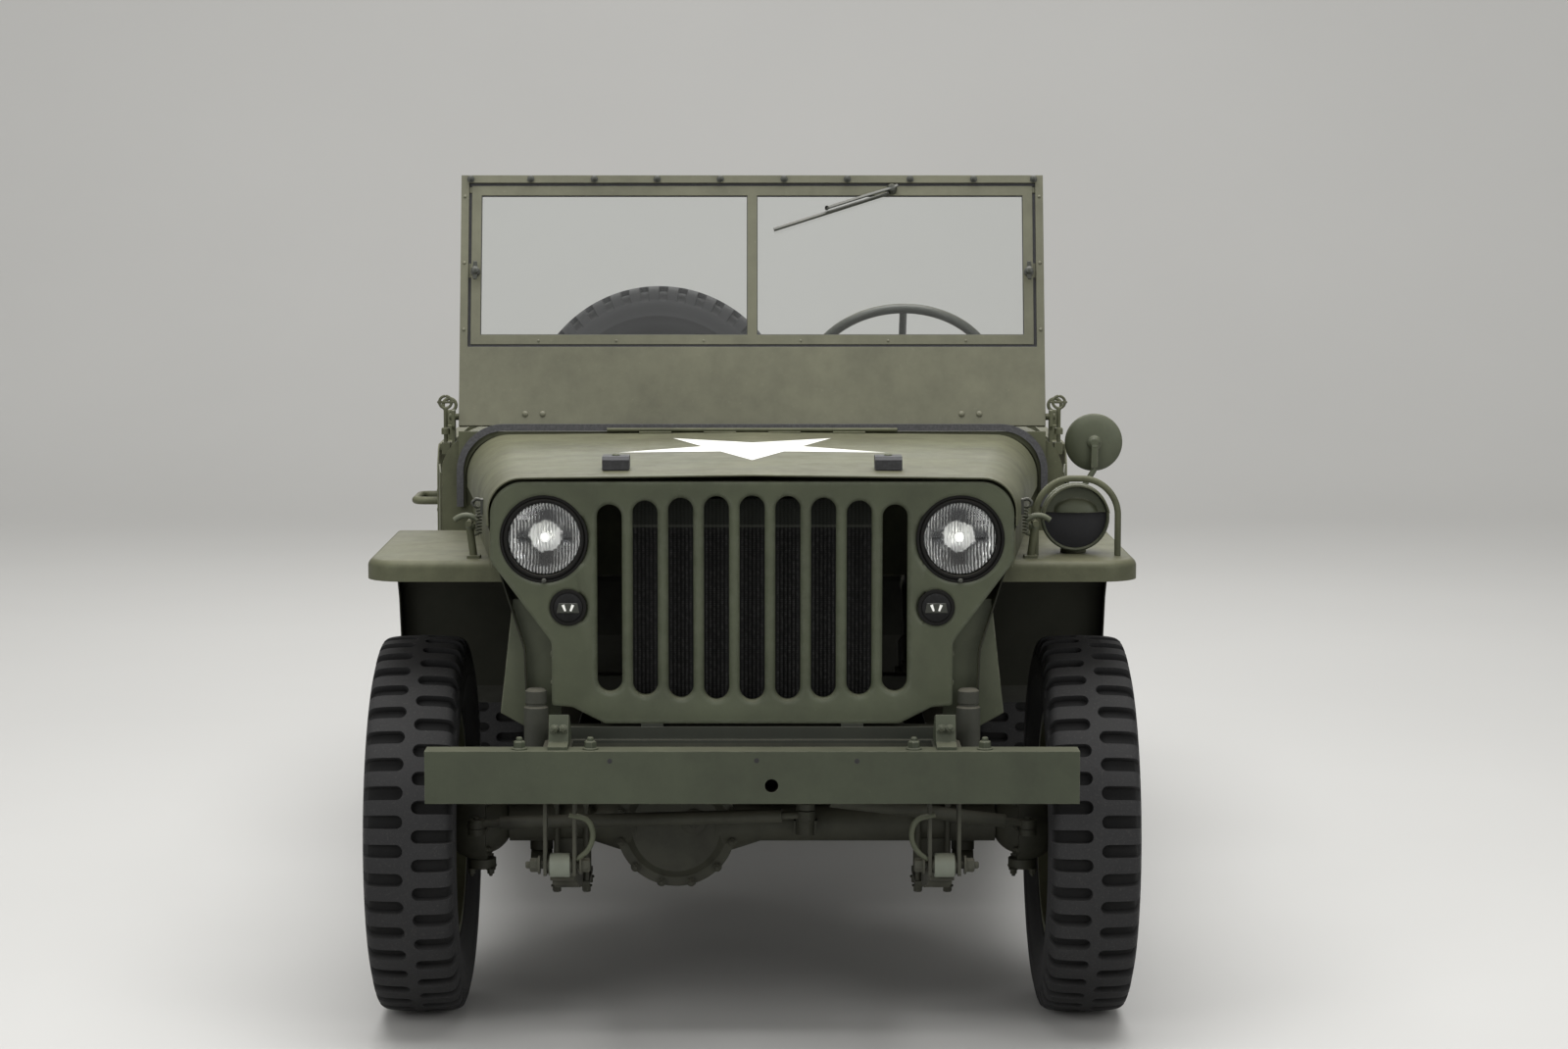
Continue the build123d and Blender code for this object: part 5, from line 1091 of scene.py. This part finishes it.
def browShape():
    # hooded upper part: a plate with a straight lower edge and a dome that bulges from it
    outer, line, dome = nightLamp["plate"], nightLamp["line"], nightLamp["dome"]
    across, deep = nightLamp["across"], nightLamp["deep"]
    start = math.asin(line / outer)
    turns = [start + (math.pi - 2 * start) * step / across for step in range(across + 1)]
    outline = [(outer * math.cos(turn), outer * math.sin(turn)) for turn in turns]
    plate = slabShape(outline, (x, face - 0.0070, z), toLeft, toTop, 0.0015)
    verts, faces = [], []
    for j in range(deep + 1):
        k = j / deep
        for i in range(across + 1):
            turn = math.pi * i / across
            a = dome * math.cos(turn) * (1 - k)
            b = line + (dome * 0.86 - line) * math.sin(turn) * (1 - k)
            out = nightLamp["bulge"] * math.sqrt(1 - (1 - k) ** 2)
            verts.append(Vector((x + a, face - 0.0080 - out, z + b)))
    for j in range(deep):
        for i in range(across):
            low = j * (across + 1) + i
            faces.append((low, low + 1, low + across + 2, low + across + 1))
    floor = len(verts)
    for row in range(deep + 1):
        for end in (0, across):
            edge = verts[row * (across + 1) + end]
            verts.append(Vector((edge.x, face - 0.0072, edge.z)))
    for row in range(deep):
        for end, column in enumerate((0, across)):
            low = row * (across + 1) + column
            faces.append((low, low + across + 1, floor + 2 * (row + 1) + end, floor + 2 * row + end))
    return [plate, (verts, faces)]


rows = mm([(0, 57.5), (4, 58), (6, 60.5), (4, 63.5), (-4, 64), (-4, 62.5)])
ring = turnedShape(rows, (x, nightLamp["y"], z), toFront, 56)
addPiece("blackout_lamp_rim", [ring] + browShape(), oliveFront, sharp=50)

mirrorMake = {"x": 0.708, "z": 1.031}
x, y, z = mirrorMake["x"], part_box("mirror")[1].y, mirrorMake["z"]
glass = turnedShape(mm([(-1.2, 52), (0.5, 52), (0.6, 0)]), (x, y, z), toBack, 48)
addPiece("mirror_glass", [glass], mirrorGlass, sharp=50)
rows = mm([(0, 52.2), (2.2, 53), (2.6, 56), (1, 59.2), (-6, 59.8), (-11.8, 59.2), (-14, 56), (-18.5, 40),
           (-20.5, 18), (-21, 0)])
nut = mm([(0, 14), (8, 14), (10, 10), (13, 9), (13, 0)])
shapes = [turnedShape(rows, (x, y, z), toBack, 48), turnedShape(nut, (x, y - 0.0195, z), toFront, 20),
          blockShape((x - 0.007, y - 0.033, z - 0.052), (x + 0.007, y - 0.020, z - 0.006))]
addPiece("mirror_shell", shapes, oliveFront, edge=0.0008, sharp=40)

# dials and switches on the instrument panel

dialMake = {"base": -0.391, "sweep": 260, "needle": -75, "switches": (-0.10, -0.14, 0.20, 0.235, 0.27),
            "table": ((0.060, 0.965, 0.040), (-0.020, 0.985, 0.026), (-0.020, 0.925, 0.026),
                      (0.140, 0.985, 0.026),
                      (0.140, 0.925, 0.026))}
base = dialMake["base"]
bezels, dialFaces, marks, panes = [], [], [], []
for x, z, radius in dialMake["table"]:
    bezel = [(-0.003, radius + 0.001), (0.002, radius + 0.001), (0.004, radius - 0.001),
             (0.004, radius - 0.004),
             (0.0015, radius - 0.005)]
    bezels.append(turnedShape(bezel, (x, base, z), toBack, 40))
    dialFaces.append(turnedShape([(0.0006, radius - 0.0045), (0.0008, 0)], (x, base, z), toBack))
    panes.append(turnedShape([(0.0022, radius - 0.0046), (0.0032, radius * 0.5), (0.0035, 0)], (x, base, z),
                             toBack))
    count = 13 if radius > 0.03 else 7
    for step in range(count):
        turn = math.radians(dialMake["sweep"] * (step / (count - 1) - 0.5))
        right, up = (-math.cos(turn), 0, -math.sin(turn)), (-math.sin(turn), 0, math.cos(turn))
        long = 0.006 if step % 3 == 0 else 0.0035
        middle = Vector((x, base + 0.0009, z)) + Vector(up) * (radius - 0.0075 - long)
        outline = [(-0.0006, 0), (0.0006, 0), (0.0006, long), (-0.0006, long)]
        marks.append(slabShape(outline, middle, right, up, 0.0003))
    turn = math.radians(dialMake["needle"])
    right, up = (-math.cos(turn), 0, -math.sin(turn)), (-math.sin(turn), 0, math.cos(turn))
    outline = [(-0.0011, -radius * 0.15), (0.0011, -radius * 0.15), (0.0003, radius * 0.62),
               (-0.0003, radius * 0.62)]
    marks.append(slabShape(outline, (x, base + 0.0013, z), right, up, 0.0003))
addPiece("dial_rims", bezels, darkPaint, sharp=40)
addPiece("dial_faces", dialFaces, dialBlack)
addPiece("dial_marks", marks, dialCream)
addPiece("dial_panes", panes, clearGlass, sharp=60)
rows = mm([(0, 8), (3, 8), (4, 5), (14, 5), (15, 8.5), (20, 8.5), (22, 6), (22, 0)])
switches = [turnedShape(rows, (x, -0.397, 0.905), toBack, 18) for x in dialMake["switches"]]
addPiece("panel_switches", switches, darkPaint, sharp=40)
print("lamps, star and dials done")

# seat cushions: canvas covers blown out by cloth simulation

padMake = {"cell": 0.011, "shrink": 0.018, "round": 0.016, "frames": 20, "most": 0.013, "welt": 0.0034,
           "stitch": 0.006, "stitchGap": 0.0045, "corner": 0.03}
clothMake = {"quality": 5, "mass": 0.3, "tension_stiffness": 12, "compression_stiffness": 12,
             "bending_stiffness": 0.6,
             "use_pressure": True, "uniform_pressure_force": 4.0, "vertex_group_mass": "seam",
             "pin_stiffness": 0.6}
seatPads = [
    ("driver_cushion", (0.345, 0.090, 0.7749), (0.400, 0.340, 0.075), 0.0),
    ("passenger_cushion", (-0.345, 0.090, 0.7749), (0.400, 0.340, 0.075), 0.0),
    ("bench_cushion", (0.0, 0.985, 0.8973), (0.932, 0.350, 0.075), 0.0),
]
backTable = [
    # name, x, foot and top of the hoop that carries it as (y, z), size
    ("driver_back", 0.345, (0.280, 0.715), (0.365, 1.095), (0.320, 0.065, 0.230)),
    ("passenger_back", -0.345, (0.280, 0.715), (0.365, 1.095), (0.320, 0.065, 0.230)),
    ("bench_back", 0, (1.180, 0.837), (1.245, 1.117), (0.842, 0.065, 0.170)),
]
for label, x, (y0, z0), (y1, z1), size in backTable:
    tilt = -math.atan((y1 - y0) / (z1 - z0))
    away = Matrix.Rotation(tilt, 3, "X") @ Vector((0, -0.0473, 0.020))
    seatPads.append((label, (x, (y0 + y1) / 2 + away.y, (z0 + z1) / 2 + away.z), size, tilt))


def padAxes(size):
    # the thin direction of a pad and its two long ones
    thin = min(range(3), key=lambda i: size[i])
    return thin, [i for i in range(3) if i != thin]


def padMesh(name, size):
    work = bmesh.new()
    bmesh.ops.create_cube(work, size=1.0)
    for v in work.verts:
        v.co = Vector([v.co[i] * (size[i] - padMake["shrink"]) for i in range(3)])
    bmesh.ops.bevel(work, geom=list(work.edges), offset=padMake["round"], segments=3, affect="EDGES")
    mesh = bpy.data.meshes.new(name)
    work.to_mesh(mesh)
    work.free()
    piece = linkData(name, mesh)
    remesh = piece.modifiers.new("cells", "REMESH")
    remesh.mode = "VOXEL"
    remesh.voxel_size = padMake["cell"]
    bpy.context.view_layer.update()
    fine = bpy.data.meshes.new_from_object(piece.evaluated_get(bpy.context.evaluated_depsgraph_get()))
    piece.modifiers.clear()
    piece.data = fine
    return piece


def onSeam(co, size):
    # the two sewn edges that run round the pad
    thin, others = padAxes(size)
    inset = min((size[i] - padMake["shrink"]) / 2 - abs(co[i]) for i in others)
    return inset < 0.008 and (size[thin] - padMake["shrink"]) / 2 - abs(co[thin]) < 0.012


padPieces = []
for label, middle, size, tilt in seatPads:
    piece = padMesh(label, size)
    seam = piece.vertex_groups.new(name="seam")
    seam.add([v.index for v in piece.data.vertices if onSeam(v.co, size)], 1.0, "REPLACE")
    padPieces.append((piece, middle, size, tilt))
for piece, middle, size, tilt in padPieces:
    cloth = piece.modifiers.new("blow", "CLOTH")
    for label, value in clothMake.items():
        setattr(cloth.settings, label, value)
    cloth.settings.effector_weights.gravity = 0
    cloth.collision_settings.use_collision = False
for step in range(1, padMake["frames"] + 1):
    scene.frame_set(step)
depsgraph = bpy.context.evaluated_depsgraph_get()
for piece, middle, size, tilt in padPieces:
    blown = [v.co.copy() for v in piece.evaluated_get(depsgraph).data.vertices]
    piece.modifiers.clear()
    for v, now in zip(piece.data.vertices, blown):
        move = now - v.co
        if move.length > padMake["most"]:
            move *= padMake["most"] / move.length
        v.co += move
scene.frame_set(1)
print("cushions blown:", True)


def weltRoute(piece, size, side, inset):
    # a line round the pad, laid on its surface
    thin, (wide, deep) = padAxes(size)
    half = [s / 2 for s in size]
    tree = surfaceTree(piece.data)
    corner = padMake["corner"]
    route = []
    for cx, cy, turn in ((1, 1, 0), (-1, 1, 90), (-1, -1, 180), (1, -1, 270)):
        for step in range(7):
            a = math.radians(turn + 90 * step / 6)
            co = Vector()
            co[wide] = cx * (half[wide] - corner - inset) + corner * math.cos(a)
            co[deep] = cy * (half[deep] - corner - inset) + corner * math.sin(a)
            co[thin] = side * (half[thin] - 0.010 + (0.02 if inset else 0))
            route.append(co)
    laid = []
    for one, two in zip(route, route[1:] + route[:1]):
        pieces = max(1, int((two - one).length / 0.012))
        laid += [tree.find_nearest(one.lerp(two, k / pieces))[0] for k in range(pieces)]
    return laid + laid[:1]


def stitchesAlong(line):
    walk, spent = [], 0.0
    for one, two in zip(line, line[1:]):
        long = (two - one).length
        while spent < long:
            walk.append(one.lerp(two, spent / long))
            spent += padMake["stitch"] + padMake["stitchGap"]
        spent -= long
    return [tubeShape([one, one.lerp(two, 0.58)], 0.0008, 5) for one, two in zip(walk, walk[1:])
            if (two - one).length < 0.02]


for piece, middle, size, tilt in padPieces:
    welts, threads = [], []
    for side in (1, -1) if padAxes(size)[0] == 1 else (1,):
        welts.append(tubeShape(weltRoute(piece, size, side, 0), padMake["welt"], 8))
        threads += stitchesAlong(weltRoute(piece, size, side, 0.012))
    place = Matrix.Translation(middle) @ Matrix.Rotation(tilt, 4, "X")
    piece.data.transform(place)
    piece.data.materials.clear()
    piece.data.materials.append(seatCanvas)
    smoothFaces(piece.data)
    fine = piece.modifiers.new("fine", "SUBSURF")
    fine.levels = fine.render_levels = 1
    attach(piece, "chassis")
    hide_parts("seat_cushions")
    for label, shapes, finish in (("welt", welts, seatCanvas), ("stitches", threads, dialCream)):
        moved = [([place @ v for v in verts], faces) for verts, faces in shapes]
        addPiece(piece.name + "_" + label, moved, finish, sharp=60)

# strap loops, handle bolts, rear lamps, reflectors and tool locker lids on the body

loopMake = {"width": 0.046, "height": 0.012, "side": ((0.62, 0.915), (1.02, 0.915), (1.38, 0.915),
                                                      (-0.50, 0.80)),
            "rearX": (0.10, 0.30, 0.50), "rearZ": 0.885}
handleBolts = ((0.258, 0.835), (0.382, 0.835), (1.288, 0.700), (1.412, 0.700))


def footmanLoop(spot, out, along):
    out, along = Vector(out), Vector(along)
    half, height = loopMake["width"] / 2, loopMake["height"]
    shapes = []
    for side in (-1, 1):
        shapes += domeHead(spot + along * (side * (half - 0.006)) + out * 0.002, out, 0.0045)
    rise = ((-half, 0.0015), (-half + 0.011, 0.0015), (-half + 0.013, height), (half - 0.013, height),
            (half - 0.011, 0.0015), (half, 0.0015))
    route = [spot + along * a + out * b for a, b in rise]
    return shapes + [tubeShape(roundedRoute(route, 0.006, 4), 0.0045, 8, 0.45)]


shapes = []
for spot in touchPoints("body_sides", [(1.2, y, z) for y, z in loopMake["side"]], toRight):
    shapes += footmanLoop(spot, toLeft, toBack)
places = [(1.2, y, z + dz) for y, z in handleBolts for dz in (-0.022, 0.022)]
for spot in touchPoints("body_sides", places, toRight):
    if spot.x < 0.735:
        shapes += domeHead(spot, toLeft, 0.006)
addPiece("body_side_fittings", bothSides(shapes), oliveBody, sharp=35)

shapes = []
for spot in touchPoints("rear_panel", [(x, 2.0, loopMake["rearZ"]) for x in loopMake["rearX"]], toFront):
    if spot.y < 1.49:
        shapes += footmanLoop(spot, toBack, toLeft)
for spot in touchPoints("rear_panel", [(0.705, 2.0, z) for z in (0.56, 0.64, 0.72, 0.80, 0.88)], toFront):
    shapes += domeHead(spot, toBack, 0.005)
addPiece("rear_panel_fittings", bothSides(shapes), oliveBody, sharp=35)

redLamp = mm([(0, 30), (2, 30), (5, 20.4), (6, 0)])
redRim = mm([(-4, 41), (2, 40), (4, 33), (2, 29)])
reflector = mm([(3, 30), (5, 26), (6, 0)])
reflectorRim = mm([(-1, 37.5), (3, 37.5), (5.5, 34), (5.5, 30), (2, 30)])
rims, reds = [], []
for node, start, heading, out, lens, rim in (
        ("tail_lamps", (0.60, 2.0, 0.72), toFront, toBack, redLamp, redRim),
        ("rear_panel", (0.50, 2.0, 0.80), toFront, toBack, reflector, reflectorRim),
        ("body_sides", (1.2, 1.20, 0.62), toRight, toLeft, reflector, reflectorRim)):
    for spot in touchPoints(node, [start], heading):
        reds.append(turnedShape(lens, spot, out, 32))
        rims.append(turnedShape(rim, spot, out, 40))
addPiece("lamp_and_reflector_rims", bothSides(rims), oliveBody, sharp=40)
addPiece("red_lenses", bothSides(reds), lampRed, sharp=40)

lidMake = {"y": (1.02, 1.36), "x": (0.535, 0.700), "hinge": 0.702, "knobX": 0.556}
(x0, x1), (y0, y1), top = lidMake["x"], lidMake["y"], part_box("wheel_houses")[1].z
hinge, knob = lidMake["hinge"], (lidMake["knobX"], (y0 + y1) / 2, top + 0.0028)
shapes = [blockShape((x0, y0, top + 0.0002), (x1, y1, top + 0.0028)),
          tubeShape([(hinge, y0 + 0.03, top + 0.004), (hinge, y1 - 0.03, top + 0.004)], 0.0035, 8),
          turnedShape(mm([(0, 12), (4, 12), (5, 7), (12, 7), (13, 0)]), knob, toTop,
                      18)]
addPiece("tool_locker_lids", bothSides(shapes), oliveBody, edge=0.0009, sharp=35)

# frame rivets, spring nuts, eye bushes and shackle hooks

rivetRows = [
    # height of the pair of rivets, places along the frame
    (0.535, (-1.50, -1.46)), (0.455, (-0.62, -0.56, -0.28, -0.18, 0.28, 0.33)),
    (0.555, (0.74, 0.80, 1.36, 1.41)),
]
places = [(0.9, y, middle + dz) for middle, row in rivetRows for y in row for dz in (-0.02, 0.02)]
shapes = []
for spot in touchPoints("frame", places, toRight):
    if 0.30 < spot.x < 0.40:
        shapes += domeHead(spot, toLeft, 0.0075)
addPiece("frame_rivets", bothSides(shapes), oliveChassis, sharp=35)

springFittings = {"boltX": (0.314, 0.370), "boltY": 0.042, "plateLow": 0.243, "nut": 0.015, "eyeNut": 0.022,
                  "eyes": ((-1.615, 0.360), (-0.765, 0.360), (0.332, 0.393), (1.352, 0.393)),
                  "eyeX": (0.306, 0.378)}
shapes = []
for axle in (frontAxle, rearAxle):
    for x in springFittings["boltX"]:
        for dy in (-springFittings["boltY"], springFittings["boltY"]):
            shapes += hexBolt((x, axle + dy, springFittings["plateLow"]), toFloor, springFittings["nut"])[:2]
inner, outer = springFittings["eyeX"]
for y, z in springFittings["eyes"]:
    shapes += hexBolt((outer, y, z), toLeft, springFittings["eyeNut"])
    shapes += hexBolt((inner, y, z), toRight, springFittings["eyeNut"])[:2]
addPiece("spring_nuts", bothSides(shapes), oliveChassis, sharp=30)
rows = mm([(-18, 12), (-18, 20.5), (-16, 21.5), (16, 21.5), (18, 20.5), (18, 12)])
bush = turnedShape(rows, (0.342, *springFittings["eyes"][0]), toLeft)
addPiece("spring_eye_bushes", bothSides([bush]), bushGreen, sharp=40)

hookLine = [(0.325, 0.452), (0.290, 0.444), (0.281, 0.415), (0.290, 0.388), (0.312, 0.371)]
hook = tubeShape(roundedRoute([(x, -1.622, z) for x, z in hookLine], 0.014), 0.0055, 10, 0.8)
addPiece("shackle_hooks", bothSides([hook]), oliveFront, sharp=50)
print("body and chassis fittings done")

# floor and backdrop

stageMake = {"floor": (0.52, 0.515, 0.50), "width": 34.0, "front": -16.0, "wall": 12.0, "bend": 4.0,
             "height": 22.0}


def stageMaterial():
    material, tree, shader = newMaterial("studioFloor", {"Specular IOR Level": 0.25, "Roughness": 0.6})
    cloud = rangeNode(tree, noiseNode(tree, 0.6, 4, 0.5), 0.3, 0.7)
    floor = stageMake["floor"]
    feed(tree, shader, {"Base Color": mixNode(tree, cloud, tuple(c * 0.97 for c in floor), floor)})
    return material


wall, bend = stageMake["wall"], stageMake["bend"]
profile = [(stageMake["front"], 0.0), (wall - bend, 0.0)]
for step in range(1, 13):
    turn = math.pi / 2 * step / 12
    profile.append((wall - bend + bend * math.sin(turn), bend - bend * math.cos(turn)))
profile.append((wall, stageMake["height"]))
verts = [(x, y, z) for y, z in profile for x in (-stageMake["width"], stageMake["width"])]
faces = [(2 * i, 2 * i + 1, 2 * i + 3, 2 * i + 2) for i in range(len(profile) - 1)]
mesh = bpy.data.meshes.new("studio_sweep")
mesh.from_pydata(verts, [], faces)
smoothFaces(mesh)
mesh.materials.append(stageMaterial())
sweep = linkData("studio_sweep", mesh)

# lamps, world and camera

lampTable = [
    # name, place, aim, width, height, power
    ("overheadSoft", (0.0, -1.2, 5.2), (0, -0.2, 0.5), 5.0, 4.0, 330),
    ("frontLeft", (-4.5, -6.5, 3.4), (0, -0.8, 0.8), 3.0, 3.0, 120),
    ("frontRight", (4.8, -6.0, 3.0), (0, -0.8, 0.8), 3.0, 3.0, 90),
    ("backSoft", (0.0, 5.0, 4.6), (0, 0, 0.9), 5.0, 2.5, 120),
    ("wallWash", (0.0, 5.0, 9.0), (0, 13.0, 3.0), 14.0, 3.0, 420),
]
for name, place, aim, width, height, power in lampTable:
    data = bpy.data.lights.new(name, "AREA")
    data.shape = "RECTANGLE"
    data.size, data.size_y, data.energy = width, height, power
    lamp = linkData(name, data)
    lamp.location = place
    lamp.visible_camera = False
    lamp.rotation_euler = (Vector(aim) - Vector(place)).to_track_quat("-Z", "Y").to_euler()

world = bpy.data.worlds.new("studioAir")
scene.world = world
world.use_nodes = True
air = world.node_tree
air.nodes.clear()
rays = addNode(air, "LightPath").outputs
seen = mathNode(air, "MAXIMUM", rays["Is Camera Ray"], rays["Is Glossy Ray"])
seen = mathNode(air, "MAXIMUM", seen, rays["Is Transmission Ray"])
light = addNode(air, "Background", {"Color": (0.88, 0.88, 0.86), "Strength": 0.54}).outputs[0]
pale = addNode(air, "Background", {"Color": (0.80, 0.80, 0.79), "Strength": 0.9}).outputs[0]
addNode(air, "OutputWorld", {0: addNode(air, "MixShader", {0: seen, 1: light, 2: pale}).outputs[0]})

scene.view_settings.view_transform = "Standard"
cameraMake = {"place": (0.0, -7.577, 1.576), "down": 5.815, "lens": 78.1, "shift": 0.0203, "sensor": 36}
cameraData = bpy.data.cameras.new("photoCamera")
cameraData.sensor_width = cameraMake["sensor"]
cameraData.lens = cameraMake["lens"]
cameraData.shift_x = cameraMake["shift"]
camera = linkData("photoCamera", cameraData)
camera.location = cameraMake["place"]
camera.rotation_euler = (math.radians(90 - cameraMake["down"]), 0, 0)
scene.camera = camera
